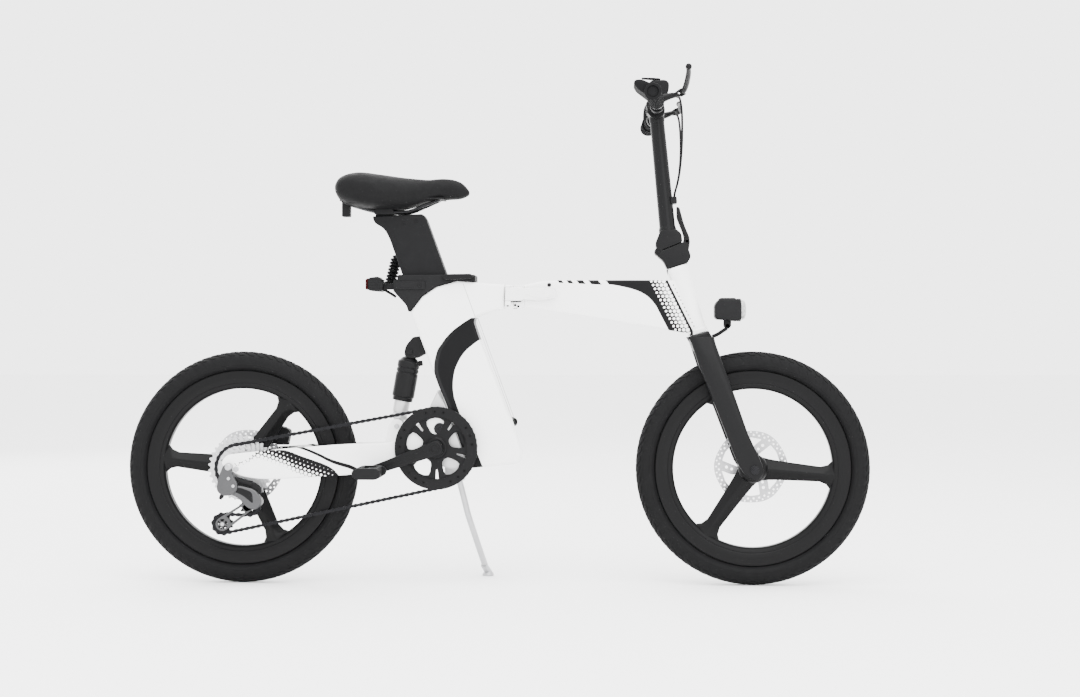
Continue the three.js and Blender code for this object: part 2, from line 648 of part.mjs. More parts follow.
function shockShaft() {
  const shaft = join(shockRod(78, 148, 17), shockRod(140, 160, 11), crossRod(SHOCK_BOTTOM, -12, 12, 11, 24));
  return cut(shaft, crossRod(SHOCK_BOTTOM, -20, 20, 4.4, 16));
}

addPart('shock_body', shockBody(), blackPaint);
addPart('shock_shaft', shockShaft(), steel);

// ---- kickstand on the left ----
function kickstand() {
  const [x, y, z] = STAND_PIVOT;
  const foot = [-28, 130];
  const knee = [-65, 47.5, 140];
  const leg = join(
    standRod(-7, 7, 9),
    rod([x + 2, y + 2, z - 7], knee, 7, 7, 14),
    rod([knee[0], knee[1] - 1, knee[2] + 4], [foot[0], foot[1], 8], 7.2, 6.5, 14),
    rod([foot[0], foot[1], 0], [foot[0], foot[1], 10], 13, 9, 16),
  );
  return cut(leg, standRod(-12, 12, 4.4, 14));
}

addPart('kickstand', kickstand(), steel);

// ---- front frame: tapering beam and head tube ----
function frontFrame() {
  const beamSide = outline([
    [62.3, 597.5], [365, 551.2], [424, 540], [398, 660], [374, 656], [134, 656], [100, 654.5], [62.3, 646],
  ]);
  const beamPlan = outline([
    [60, -30], [100, -29], [330, -25, 60], [420, -15], [420, 15], [330, 25, 60], [100, 29], [60, 30],
  ]);
  const beam = sidePlate(beamSide, -32, 32).intersect(planPlate(beamPlan, 500, 700));
  const tubeBody = headRod(-HEAD_LENGTH, 0, 20.5, 24);
  const cups = join(headRod(-HEAD_LENGTH - 5, -HEAD_LENGTH + 3, 22.5), headRod(-4, 5, 25));
  return cut(join(beam, tubeBody, cups), headRod(-HEAD_LENGTH - 10, 10, 15));
}

addPart('front_frame', frontFrame(), whitePaint);
addPart('front_hinge_half', frontHingeHalf(), whitePaint);

// ---- fork, its axle, brake and headlight ----
function fork() {
  const [cx, cz] = alongHead(-HEAD_LENGTH - 5.5);
  const across = [Math.cos(HEAD_TILT) * 21, Math.sin(HEAD_TILT) * 21];
  const side = outline([
    [cx - across[0], cz - across[1]],
    [cx + across[0], cz + across[1]],
    [467, 527, 6], [481, 490], [508, 415.4],
    [538.3, 327.5], [560, 285, 20], [574, 252, 16], [556, 229, 18], [530, 236, 14], [514.7, 266.3, 30],
    [470.9, 381.3], [433.8, 472.9], [417.9, 520],
  ]);
  const front = outline([
    [-66, 225], [-66, 330], [-59, 500, 20], [-44, 550], [44, 550], [59, 500, 20], [66, 330], [66, 225],
    [FRONT_DROPOUT, 225], [FRONT_DROPOUT, 330], [38, 470, 20], [31, 506, 10], [-31, 506, 10], [-38, 470, 20],
    [-FRONT_DROPOUT, 330], [-FRONT_DROPOUT, 225],
  ]);
  const blades = sidePlate(side, -70, 70).intersect(frontPlate(front, 380, 600));
  const steerer = headRod(-HEAD_LENGTH - 10, 44, 14.3);
  return cut(join(blades, steerer), crossRod(FRONT_AXLE, -80, 80, 5.5));
}

function frontCaliper() {
  const body = sidePlate(outline([
    [506, 303, 5], [528, 311, 5], [537, 326, 6], [526, 341, 8], [496, 339, 8],
  ]), 35.5, 49);
  const slot = crossRod(FRONT_AXLE, ROTOR_Y - 2.6, ROTOR_Y + 2.6, ROTOR_RADIUS + 3, 40);
  const foot = crossRod([515, 316], 48, FRONT_DROPOUT - GAP, 5, 16);
  return join(cut(body, slot), foot);
}

function headlightBracket() {
  const arm = tube([[469, 0, 536], [482, 0, 543], [496, 0, 552]], 4, 8, 8);
  const tongue = crossRod(LIGHT_PIVOT, -5, 5, 7, 20);
  return cut(join(arm, tongue), crossRod(LIGHT_PIVOT, -10, 10, 3.4, 12));
}

function headlightBody() {
  const body = sidePlate(outline([
    [470, 572, 8], [470, 604, 8], [479, 618, 6], [522, 616, 4], [527, 606, 4], [527, 572, 6], [518, 567.5, 4],
  ]), -29, 29);
  const ear = sidePlate(outline([[490, 570], [490, 554, 6], [506, 554, 6], [506, 570]]), 5.4, 9);
  return join(body, ear, mirrorY(ear), crossRod(LIGHT_PIVOT, -9, 9, 3, 12));
}

const headlightLens = () => join(
  rod([527.3, 0, 592], [533, 0, 592], 21.5, 21.5, 20),
  rod([533, 0, 592], [538.5, 0, 592], 21.5, 14, 20),
);

addPart('fork', fork(), blackPaint);
addPart('front_axle', throughBolt(FRONT_AXLE, 66.3, 5, 10, 8), steel);
addPart('front_caliper', frontCaliper(), blackPaint);
addPart('headlight_bracket', headlightBracket(), blackPlastic);
addPart('headlight_body', headlightBody(), blackPlastic);
addPart('headlight_lens', headlightLens(), clearLens);

// ---- folding handlepost ----
const STEM_HALF_WIDTH = 21;
const STEM_SLOPE = Math.tan(THREE.MathUtils.degToRad(22));
const stemLine = (x, lift) => STEM_PIN[1] + (x - STEM_PIN[0]) * STEM_SLOPE + lift;
const STEM_LATCH_PIN = [411, 740];

function stemBase() {
  const [cx, cz] = alongHead(5.6);
  const across = [Math.cos(HEAD_TILT) * 23, Math.sin(HEAD_TILT) * 23];
  const base = outline([
    [cx - across[0], cz - across[1]],
    [cx + across[0], cz + across[1]],
    [420, 706, 8], [408, stemLine(408, -GAP)],
    [STEM_PIN[0] + 9, stemLine(STEM_PIN[0] + 9, -GAP)], [345, 708, 6], [360, 697, 6],
  ]);
  const knuckle = crossRod(STEM_PIN, -10, 10, 9, 24);
  const ear = sidePlate(outline([[400, 716], [414, 716], [418, 742, 6], [405, 747, 4], [402, 735]]), 9, 15);
  const body = cut(
    join(sidePlate(base, -STEM_HALF_WIDTH, STEM_HALF_WIDTH), knuckle, ear, mirrorY(ear)),
    crossRod(STEM_PIN, 10, 30, 10, 24),
    crossRod(STEM_PIN, -30, -10, 10, 24),
    sidePlate(outline([[402.5, 728], [424, 722], [424, 760], [402.5, 760]]), -9, 9),
    headRod(-2, 45, 14.7),
  );
  return join(body, crossRod(STEM_PIN, -19, 19, 4, 16), crossRod(STEM_LATCH_PIN, -12, 12, 3, 12));
}

function handlepost() {
  const foot = sidePlate(outline([
    [STEM_PIN[0] + 9, stemLine(STEM_PIN[0] + 9, GAP)],
    [401, stemLine(401, GAP)], [399, 756, 4], [388, 766, 4],
    [354, 764, 6], [343, 736, 8], [341, 722],
  ]), -STEM_HALF_WIDTH + 1, STEM_HALF_WIDTH - 1);
  const knuckle = crossRod(STEM_PIN, 10.3, 20, 9, 24);
  const post = rod([POST_FOOT[0], 0, POST_FOOT[1]], [BAR_CENTRE[0], 0, BAR_CENTRE[1]], 17.2, 15.2, 18);
  const clamp = crossRod(BAR_CENTRE, -24, 24, 19, 16);
  const port = block(376, 390, -14, 14, 820, 836);
  const body = cut(
    join(foot, post, clamp, port),
    crossRod(STEM_PIN, -10.3, 10.3, 9.6, 24),
    crossRod(BAR_CENTRE, -30, 30, BAR_RADIUS + GAP),
    sidePlate(outline([
      [330, 700], [STEM_PIN[0], 700], [430, stemLine(430, GAP) - 14], [430, stemLine(430, GAP)],
      [STEM_PIN[0], stemLine(STEM_PIN[0], GAP)], [330, stemLine(330, GAP)]]), -30, 30),
  );
  return cut(join(body, knuckle, mirrorY(knuckle)), crossRod(STEM_PIN, -30, 30, 4.4, 16));
}

function stemLatchLever() {
  const lever = outline([
    [405, 734, 4], [417, 735, 4], [417, 748, 6], [405, 776, 6], [395, 813, 4], [388, 815, 3], [388.5, 790],
    [402, 757], [404.5, 746],
  ]);
  return cut(sidePlate(lever, -8.5, 8.5), crossRod(STEM_LATCH_PIN, -12, 12, 3.4, 12));
}

addPart('stem_base', stemBase(), blackPaint);
addPart('handlepost', handlepost(), blackPaint);
addPart('stem_latch_lever', stemLatchLever(), blackPaint);

// ---- handlebar, grips and controls ----
const SWEEP_START = 120;
const WING_START = 214;
const WING_END = 290;
const WING_LEAN = { right: 150, left: 97 };
const sweep = (BAR_CENTRE[0] - GRIP_END[0]) / (BAR_HALF_WIDTH - SWEEP_START);
const onBar = (y) => [BAR_CENTRE[0] - sweep * Math.max(0, Math.abs(y) - SWEEP_START), y, BAR_CENTRE[1]];
const barRod = (y0, y1, radius, sides = 16) => rod(onBar(y0), onBar(y1), radius, radius, sides);

function handlebar() {
  const stations = [-290, -230, -170, -130, -110, 0, 110, 130, 170, 230, 290];
  return tube(stations.map(onBar), BAR_RADIUS, 12, 14);
}

// Rubber grip with a palm wing that leans lean degrees up from forward.
function grip(side, lean) {
  const along = THREE.MathUtils.degToRad(lean);
  const [middle] = onBar((WING_START + WING_END) / 2);
  const corners = [[-2, -15, 4], [36, -10, 6], [46, -3, 5], [46, 4, 5], [36, 10, 6], [-2, 15, 4]];
  const wing = sidePlate(outline(corners.map(([out, across, fillet]) => [
    middle + out * Math.cos(along) - across * Math.sin(along),
    BAR_CENTRE[1] + out * Math.sin(along) + across * Math.cos(along),
    fillet,
  ])), WING_START, WING_END);
  const rubberTube = join(barRod(165, BAR_HALF_WIDTH, GRIP_RADIUS), wing);
  const body = cut(rubberTube, barRod(150, 291, BAR_RADIUS + 0.9));
  return side < 0 ? mirrorY(body) : body;
}

// Joint axis of the left brake lever, across its blade and its pull.
const LEVER_PIVOT = [395, 150, 1040];
const LEVER_AXIS = [-0.45, 0, 0.893];

const alongLever = (distance) => LEVER_PIVOT.map((value, i) => value + distance * LEVER_AXIS[i]);

// Bar clamp and body of a brake lever, with an ear on each side of the lever's hub.
function brakeMount(side) {
  const arm = rod([352, 150, 1026], [382, 150, 1036], 8.5, 7.5, 8);
  const ears = [1, -1].map((end) => join(
    rod(alongLever(end * 5), alongLever(end * 7.5), 6.5, 6.5, 8),
    rod([380, 150, 1035], alongLever(end * 6.4), 4, 2.5, 6),
  ));
  const leverRoom = rod(alongLever(-4.8), alongLever(4.8), 6, 6, 8);
  const holder = cut(join(barRod(140, 159, 16, 14), arm, ...ears), leverRoom);
  const pin = rod(alongLever(-7), alongLever(7), 1.6, 1.6, 6);
  const mount = join(cut(holder, barRod(122, 178, BAR_RADIUS + 0.9, 12)), pin);
  return side < 0 ? mirrorY(mount) : mount;
}

function brakeLever(side) {
  const blade = tube([
    LEVER_PIVOT, [398.6, 165, 1041.8], [402, 184, 1049], [404, 208, 1057], [405, 240, 1066], [404, 268, 1073],
  ], 4.3, 6, 8);
  const tip = new THREE.SphereGeometry(7, 8, 5);
  tip.translate(404, 271, 1074);
  const hub = rod(alongLever(-4.4), alongLever(4.4), 4.8, 4.8, 8);
  const lever = cut(join(hub, blade, toSolid(tip)), rod(alongLever(-6), alongLever(6), 2, 2, 6));
  return side < 0 ? mirrorY(lever) : lever;
}

function shifter() {
  const ring = barRod(-98, -82, 15.5);
  const pod = sidePlate(outline([
    [332, 1034, 4], [360, 1034, 6], [370, 1052, 8], [370, 1068, 6], [362, 1074, 5],
    [328, 1071, 6], [326, 1048, 8],
  ]), -104, -76);
  return cut(join(ring, pod), barRod(-110, -70, BAR_RADIUS + 0.9));
}

function shiftLever() {
  const paddle = outline([
    [340, -82, 5], [352, -82, 5], [352, -96, 5], [336, -104, 5], [312, -108, 5], [312, -98, 5],
  ]);
  return planPlate(paddle, 1074.6, 1078);
}

function display() {
  const ring = barRod(66, 84, 15.5);
  const shell = sidePlate(outline([
    [326, 1035, 4], [362, 1035, 6], [364, 1046, 4], [330, 1054, 4], [323, 1046, 4],
  ]), 50, 100);
  return cut(join(ring, shell), barRod(40, 110, BAR_RADIUS + 0.9));
}

function brakeCable(side) {
  const route = [
    [386, 128, 1036], [392, 112, 1032], [397, 84, 1012], [399, 58, 978], [399, 36, 938],
    [396, 18, 896], [391, 9, 866], [386, 7, 848], [384, 7, 836.4],
  ];
  return tube(route.map(([x, y, z]) => [x, side * y, z]), 2.5, 6, 20);
}

addPart('handlebar', handlebar(), blackPaint);
addPart('shifter', shifter(), blackPlastic);
addPart('shift_lever', shiftLever(), blackPlastic);
addPart('display', display(), blackPlastic);
for (const [suffix, side] of [['right', -1], ['left', 1]]) {
  addPart(`grip_${suffix}`, grip(side, WING_LEAN[suffix]), rubber);
  addPart(`brake_mount_${suffix}`, brakeMount(side), blackPaint);
  addPart(`brake_lever_${suffix}`, brakeLever(side), blackPaint);
  addPart(`brake_cable_${suffix}`, brakeCable(side), blackPlastic);
}

// ---- seat ----
function seatPost() {
  const post = outline([
    [-268, 795], [-264, 781], [-242, 768], [-231, 748], [postRear(POST_BOTTOM), POST_BOTTOM],
    [postFront(POST_BOTTOM), POST_BOTTOM], [postFront(789), 789], [-158, 799.8],
  ]);
  return join(
    sidePlate(post, -POST_HALF_WIDTH, POST_HALF_WIDTH, 3, 2),
    block(-262, -222, -15, 15, 792, 811),
    block(-226, -217, 17, 46, 724, 733),
  );
}

function saddleRails() {
  const rail = (side) => tube([
    [-330, side * 27, 826], [-306, side * 26, 818], [-268, side * 21, 808], [-230, side * 21, 804.5],
    [-190, side * 21, 805], [-158, side * 19, 817], [-124, side * 12, 831],
  ], 3.4, 6, 14);
  return join(
    rail(1), rail(-1),
    rod([-124, -14, 831], [-124, 14, 831], 3.4, 3.4, 8),
    rod([-330, -29, 826], [-330, 29, 826], 3.4, 3.4, 8),
    block(-336, -318, -11, 11, 794, 828),
    sidePlate(outline([
      [-338, 834.3], [-338, 828], [-320, 828], [-300, 832.2], [-130, 832.2], [-112, 830], [-112, 834.3],
    ]), -29, 29),
  );
}

// Padded saddle: a ball pressed into the plan, top and bottom lines of the seat.
function saddle() {
  const spline = (corners) => new THREE.SplineCurve(corners.map(([x, y]) => new THREE.Vector2(x, y)));
  const top = spline([
    [-351, 858], [-338, 882], [-300, 892.5], [-250, 886],
    [-200, 878.5], [-150, 875.5], [-110, 878.5], [-75, 870], [-55, 848],
  ]);
  const low = spline([
    [-351, 852], [-334, 826], [-290, 811], [-245, 806.5],
    [-205, 808.5], [-158, 823], [-110, 829], [-75, 832], [-55, 842],
  ]);
  const half = spline([
    [-351, 40], [-335, 66], [-300, 80], [-260, 79], [-215, 58], [-170, 36], [-120, 25], [-75, 21], [-55, 12],
  ]);
  const geometry = new THREE.SphereGeometry(1, 18, 18);
  geometry.rotateZ(Math.PI / 2);
  const position = geometry.attributes.position;
  for (let i = 0; i < position.count; i += 1) {
    const [u, y, z] = [position.getX(i), position.getY(i), position.getZ(i)];
    const t = THREE.MathUtils.clamp(0.5 + 0.5 * Math.sign(u) * Math.abs(u) ** 1.6, 0, 1);
    const [upper, lower, width] = [top.getPoint(t), low.getPoint(t), half.getPoint(t)];
    const ring = Math.max(Math.hypot(y, z), 1e-6);
    const full = ring < 1e-3 ? 0 : 1;
    const square = (value) => Math.sign(value) * Math.abs(value) ** 0.75;
    const [sy, sz] = [square(y / ring) * full, square(z / ring) * full];
    const middle = (upper.y + lower.y) / 2;
    position.setXYZ(i, upper.x, width.y * sy, middle + sz * (upper.y - lower.y) / 2);
  }
  const recess = join(block(-345, -100, -33, 33, 780, 835), block(-300, -140, -48, 48, 780, 824));
  return cut(toSolid(geometry), recess);
}

function seatClampLever() {
  const lever = sidePlate(outline([
    [-112, 656.5, 5], [-52, 658, 5], [-46, 663, 3], [-52, 670, 5], [-112, 668, 5],
  ]), -44, -36);
  return lever;
}

function batteryLead() {
  return rod([-220.5, 38, 714], [-239.5, 38, 636], 13, 13, 20);
}

addPart('seat_post', seatPost(), blackPaint);
addPart('saddle_rails', saddleRails(), darkSteel);
addPart('saddle', saddle(), softFoam);
addPart('seat_clamp_lever', seatClampLever(), blackPaint);
addPart('battery_lead', batteryLead(), rubber);

export default bicycle;
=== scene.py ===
import math
import bpy
import bmesh
from mathutils import Matrix, Vector


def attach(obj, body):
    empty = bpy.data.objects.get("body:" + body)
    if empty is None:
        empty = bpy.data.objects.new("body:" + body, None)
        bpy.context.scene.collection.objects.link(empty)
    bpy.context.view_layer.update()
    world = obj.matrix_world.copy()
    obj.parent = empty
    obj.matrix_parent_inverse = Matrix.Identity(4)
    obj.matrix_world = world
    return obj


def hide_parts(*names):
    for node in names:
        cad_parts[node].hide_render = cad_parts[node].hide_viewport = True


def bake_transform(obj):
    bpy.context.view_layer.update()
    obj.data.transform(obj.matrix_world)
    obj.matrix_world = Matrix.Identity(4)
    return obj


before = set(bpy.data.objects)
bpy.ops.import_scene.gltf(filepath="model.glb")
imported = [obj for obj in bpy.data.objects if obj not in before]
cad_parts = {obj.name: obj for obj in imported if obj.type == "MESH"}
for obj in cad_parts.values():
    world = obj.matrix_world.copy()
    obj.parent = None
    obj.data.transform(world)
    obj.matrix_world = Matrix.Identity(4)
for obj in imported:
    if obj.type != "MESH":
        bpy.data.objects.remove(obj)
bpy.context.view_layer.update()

# ---- Standing place, lights and camera ----
# The bicycle stands on a pale matt floor under a wide soft light, seen level from its right side.
# Nothing here belongs to the bicycle.
floor_mesh = bpy.data.meshes.new("floor")
floor_mesh.from_pydata([(-30, -30, 0), (30, -30, 0), (30, 30, 0), (-30, 30, 0)], [], [(0, 1, 2, 3)])
floor = bpy.data.objects.new("floor", floor_mesh)
bpy.context.collection.objects.link(floor)

world = bpy.data.worlds.new("studio")
bpy.context.scene.world = world
world.use_nodes = True
world.node_tree.nodes["Background"].inputs["Color"].default_value = (1, 1, 1, 1)
world.node_tree.nodes["Background"].inputs["Strength"].default_value = 4.0

for label, spot, size, power in [
    ("overhead", (0.3, -1.2, 4.2), 4.0, 300.0),
    ("front_fill", (1.8, -4.5, 2.4), 3.0, 120.0),
    ("back_fill", (-2.6, 3.4, 2.6), 3.0, 120.0),
]:
    lamp = bpy.data.lights.new(label, "AREA")
    lamp.size = size
    lamp.energy = power
    holder = bpy.data.objects.new(label, lamp)
    holder.location = spot
    holder.rotation_euler = (Vector((0, 0, 0.4)) - Vector(spot)).to_track_quat("-Z", "Y").to_euler()
    bpy.context.collection.objects.link(holder)

lens = bpy.data.cameras.new("camera")
lens.lens = 58.5
lens.sensor_width = 36.0
lens.clip_end = 60.0
camera = bpy.data.objects.new("camera", lens)
camera.location = (0.2598, -3.7964, 0.509)
camera.rotation_euler = (math.radians(90), 0, math.radians(2.5))
bpy.context.collection.objects.link(camera)
bpy.context.scene.camera = camera


# ---- Finishes that several parts share ----
# White enamel, black enamel, moulded plastic, rubber and bare metals. Each is one coat whose
# gloss and grain vary a little, as sprayed, moulded and machined surfaces do.
class Finish:
    """A surface finish: one Principled shader and the nodes that vary it."""

    def __init__(self, name, colour, roughness, metallic=0.0, coat=0.0):
        self.material = bpy.data.materials.new(name)
        self.material.use_nodes = True
        self.tree = self.material.node_tree
        self.shader = self.tree.nodes["Principled BSDF"]
        self.shader.inputs["Base Color"].default_value = (*colour, 1)
        self.shader.inputs["Roughness"].default_value = roughness
        self.shader.inputs["Metallic"].default_value = metallic
        self.shader.inputs["Coat Weight"].default_value = coat
        self.shader.inputs["Coat Roughness"].default_value = 0.12
        self.shader.inputs["Specular IOR Level"].default_value = 0.5 if max(colour) > 0.03 else 0.05
        self.colour = colour
        self.roughness = roughness

    def node(self, kind, inputs=None, **settings):
        made = self.tree.nodes.new(kind)
        for key, value in settings.items():
            setattr(made, key, value)
        for key, value in (inputs or {}).items():
            if isinstance(value, bpy.types.NodeSocket):
                self.tree.links.new(value, made.inputs[key])
            else:
                made.inputs[key].default_value = value
        return made

    def sum(self, operation, first, second=0.0, third=0.0):
        return self.node("ShaderNodeMath", {0: first, 1: second, 2: third}, operation=operation).outputs[0]

    def place(self):
        """Object coordinates in millimetres, as one vector."""
        spot = self.node("ShaderNodeTexCoord").outputs["Object"]
        return self.node("ShaderNodeVectorMath", {0: spot, 3: 1000.0}, operation="SCALE").outputs[0]

    def axes(self):
        parts = self.node("ShaderNodeSeparateXYZ", {0: self.place()}).outputs
        return parts[0], parts[1], parts[2]

    def ramp(self, value, low, high, start=0.0, end=1.0):
        return self.node("ShaderNodeMapRange", {0: value, 1: low, 2: high, 3: start, 4: end}).outputs[0]

    def blend(self, factor, first, second):
        """Colour between first and second."""
        mixer = self.node("ShaderNodeMix", {0: factor}, data_type="RGBA")
        for index, value in ((6, first), (7, second)):
            if isinstance(value, bpy.types.NodeSocket):
                self.tree.links.new(value, mixer.inputs[index])
            else:
                mixer.inputs[index].default_value = (*value, 1)
        return mixer.outputs[2]

    def noise(self, size, detail=3.0):
        """Soft random value whose patches are size millimetres across."""
        return self.node(
            "ShaderNodeTexNoise", {"Vector": self.place(), "Scale": 1.0 / size, "Detail": detail},
        ).outputs[0]

    def colour_from(self, socket):
        self.tree.links.new(socket, self.shader.inputs["Base Color"])

    def printed(self, mask, under, over):
        """Flat ink over the paint where mask is 1, without the paint's gloss."""
        self.colour_from(self.blend(mask, under, over))
        self.tree.links.new(self.ramp(mask, 0.0, 1.0, 0.5, 0.06), self.shader.inputs["Specular IOR Level"])
        self.tree.links.new(self.ramp(mask, 0.0, 1.0, 0.25, 0.0), self.shader.inputs["Coat Weight"])

    def rough_from(self, value, low, high):
        self.tree.links.new(self.ramp(value, 0.3, 0.7, low, high), self.shader.inputs["Roughness"])

    def bump(self, height, depth):
        """Relief of depth millimetres where height goes from 0 to 1."""
        relief = self.node("ShaderNodeBump", {"Height": height, "Distance": depth * 0.001, "Strength": 1.0})
        self.tree.links.new(relief.outputs[0], self.shader.inputs["Normal"])


def enamel(name, colour, roughness=0.32, coat=0.25):
    """Sprayed and baked paint with a faint orange peel."""
    coat_of_paint = Finish(name, colour, roughness, coat=coat)
    coat_of_paint.bump(coat_of_paint.noise(2.2, 1.0), 0.012)
    coat_of_paint.rough_from(coat_of_paint.noise(30.0), roughness - 0.04, roughness + 0.06)
    return coat_of_paint


def moulded(name, colour, roughness, grain=0.7, depth=0.05):
    """Moulded plastic or rubber with a fine spark-eroded grain."""
    skin = Finish(name, colour, roughness)
    skin.bump(skin.noise(grain, 2.0), depth)
    skin.rough_from(skin.noise(14.0), roughness - 0.06, roughness + 0.08)
    lighter = tuple(min(1.0, value * 1.4) for value in colour)
    skin.colour_from(skin.blend(skin.noise(22.0), colour, lighter))
    return skin


def metal(name, colour, roughness, brushed=0.35):
    """Machined or cast metal with fine tool marks."""
    bare = Finish(name, colour, roughness, metallic=0.85)
    marks = bare.node("ShaderNodeMapping", {"Vector": bare.place(), "Scale": (1.0, brushed, 3.0)}).outputs[0]
    lines = bare.node("ShaderNodeTexNoise", {"Vector": marks, "Scale": 1.4, "Detail": 3.0}).outputs[0]
    bare.bump(lines, 0.015)
    bare.rough_from(lines, roughness - 0.07, roughness + 0.1)
    darker = tuple(value * 0.86 for value in colour)
    bare.colour_from(bare.blend(bare.noise(18.0), colour, darker))
    return bare


WHITE = (0.89, 0.89, 0.885)
INK = (0.0035, 0.0035, 0.0038)
white_enamel = enamel("white_enamel", WHITE)
black_enamel = enamel("black_enamel", (0.005, 0.005, 0.0053), 0.36, 0.04)
black_plastic = moulded("black_plastic", (0.006, 0.006, 0.0063), 0.5)
soft_rubber = moulded("soft_rubber", (0.0042, 0.0042, 0.0045), 0.7, 0.9, 0.08)
bright_steel = metal("bright_steel", (0.4, 0.4, 0.41), 0.32)
pale_alloy = metal("pale_alloy", (0.55, 0.55, 0.55), 0.42)
grey_alloy = metal("grey_alloy", (0.06, 0.06, 0.062), 0.42)
dark_steel = metal("dark_steel", (0.014, 0.014, 0.015), 0.38)

floor_finish = Finish("pale_floor", (0.93, 0.93, 0.93), 0.75)
floor_finish.colour_from(
    floor_finish.blend(floor_finish.noise(900.0), (0.93, 0.93, 0.93), (0.95, 0.95, 0.95)),
)
floor_mesh.materials.append(floor_finish.material)


# ---- Main casing of the rear frame ----
# Hollow white casting between the seat post and the bottom bracket, with soft edges and a black
# S-shaped stripe on both flanks. It carries the seat post slot and half of the frame hinge.
def rounded(corners, steps=6, closed=True):
    """Points of an outline whose corners are (x, y) or (x, y, fillet), in millimetres."""
    points = []
    last = len(corners) - 1
    for index, corner in enumerate(corners):
        here = Vector(corner[:2])
        fillet = corner[2] if len(corner) > 2 else 0.0
        if fillet <= 0 or (not closed and index in (0, last)):
            points.append(here)
            continue
        before = Vector(corners[index - 1][:2])
        after = Vector(corners[(index + 1) % len(corners)][:2])
        reach = min(fillet, 0.48 * (before - here).length, 0.48 * (after - here).length)
        start = here + (before - here).normalized() * reach
        end = here + (after - here).normalized() * reach
        for step in range(steps + 1):
            t = step / steps
            points.append(start * (1 - t) ** 2 + here * 2 * t * (1 - t) + end * t * t)
    return points


SIDE = Matrix(((1, 0, 0), (0, 0, -1), (0, 1, 0)))
PLAN = Matrix.Identity(3)


def plate(corners, low, high, edge=1.0, holes=(), view=SIDE, steps=6):
    """An outline given thickness between two planes, with rounded edges and through holes."""
    line = bpy.data.curves.new("plate", "CURVE")
    line.dimensions = "2D"
    line.fill_mode = "BOTH"
    line.extrude = (high - low) / 2 - edge
    line.bevel_depth = edge
    line.bevel_resolution = 2
    line.offset = -edge
    for loop in [corners, *holes]:
        path = rounded(loop, steps)
        spline = line.splines.new("POLY")
        spline.points.add(len(path) - 1)
        for point, spot in zip(spline.points, path):
            point.co = (spot.x, spot.y, 0, 1)
        spline.use_cyclic_u = True
    holder = bpy.data.objects.new("plate", line)
    mesh = bpy.data.meshes.new_from_object(holder)
    shape = bmesh.new()
    shape.from_mesh(mesh)
    bpy.data.objects.remove(holder)
    bpy.data.curves.remove(line)
    bpy.data.meshes.remove(mesh)
    bmesh.ops.remove_doubles(shape, verts=shape.verts, dist=0.002)
    across = -(low + high) / 2 if view is SIDE else (low + high) / 2
    for vertex in shape.verts:
        vertex.co = view @ (vertex.co + Vector((0, 0, across)))
    bmesh.ops.recalc_face_normals(shape, faces=shape.faces)
    return shape


def assemble(name, shapes, finish, body, *stands_for, crease=35.0):
    """Join shapes made in millimetres into one piece that rides on a body."""
    whole = bmesh.new()
    for shape in shapes:
        part = bpy.data.meshes.new("part")
        shape.to_mesh(part)
        shape.free()
        whole.from_mesh(part)
        bpy.data.meshes.remove(part)
    for vertex in whole.verts:
        vertex.co *= 0.001
    mesh = bpy.data.meshes.new(name)
    whole.to_mesh(mesh)
    whole.free()
    return settle(name, mesh, finish, body, *stands_for, crease=crease)


def settle(name, mesh, finish, body, *stands_for, crease=35.0):
    """Give a mesh its finish, its shading and, unless it is None, its body."""
    mesh.materials.clear()
    mesh.materials.append(finish.material)
    mesh.shade_smooth()
    mesh.set_sharp_from_angle(angle=math.radians(crease))
    piece = bpy.data.objects.new(name, mesh)
    bpy.context.collection.objects.link(piece)
    even = piece.modifiers.new("even", "WEIGHTED_NORMAL")
    even.keep_sharp = True
    if body:
        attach(piece, body)
    if stands_for:
        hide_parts(*stands_for)
    return piece


def edge_line(finish, across, points):
    """A smooth line through points, read at a coordinate: points are (coordinate, value)."""
    points = sorted(points)
    low, high = points[0][0], points[-1][0]
    least, most = min(v for _, v in points), max(v for _, v in points)
    curve = finish.node("ShaderNodeFloatCurve", {"Value": finish.ramp(across, low, high)})
    bends = curve.mapping.curves[0].points
    while len(bends) < len(points):
        bends.new(0.5, 0.5)
    for bend, (spot, value) in zip(bends, points):
        bend.location = ((spot - low) / (high - low), (value - least) / (most - least))
    curve.mapping.update()
    return finish.ramp(curve.outputs[0], 0.0, 1.0, least, most)


def beyond(finish, value, limit, soft=0.5):
    """1 where value is over limit, 0 under it, with an edge half a millimetre wide."""
    return finish.ramp(finish.sum("SUBTRACT", value, limit), -soft / 2, soft / 2)


def both(finish, *masks):
    product = masks[0]
    for mask in masks[1:]:
        product = finish.sum("MULTIPLY", product, mask)
    return product


def either(finish, *masks):
    most = masks[0]
    for mask in masks[1:]:
        most = finish.sum("MAXIMUM", most, mask)
    return most


striped = enamel("white_enamel_striped", WHITE)
x, y, z = striped.axes()
rear_edge = edge_line(striped, z, [
    (249.9, -55.6), (320, -81.5), (382.5, -104.2), (418.6, -119.3), (440, -127.5), (464, -132.9),
    (497.2, -128.3), (520, -116), (542.3, -97.9), (560, -76), (575, -52.6),
])
front_edge = edge_line(striped, z, [
    (252.8, -27), (310, -51), (364.5, -75.3), (388.6, -84.3), (408, -90), (427.7, -91.9), (458, -88.8),
    (480, -80.5), (500.2, -67.7), (515, -52), (528.1, -34.5), (575, 30),
])
seam_edge = striped.ramp(z, 356.0, 650.0, 36.0, -70.7)
stripe = both(
    striped, beyond(striped, x, rear_edge), beyond(striped, front_edge, x), beyond(striped, seam_edge, x),
    beyond(striped, 575.0, z),
)
# Painted light and shade: below 520 mm and more than 9 mm in from its rear edge the stripe is painted a
# little lighter than the ink, so its darker rear border reads as the shaded wall of a recess that is not
# modelled.
inner_edge = striped.sum("ADD", rear_edge, 9.0)
stripe_painted_light_zone = both(striped, beyond(striped, 520.0, z, 60.0), beyond(striped, inner_edge, x))
stripe_colour = striped.blend(stripe_painted_light_zone, INK, (0.009, 0.009, 0.0095))
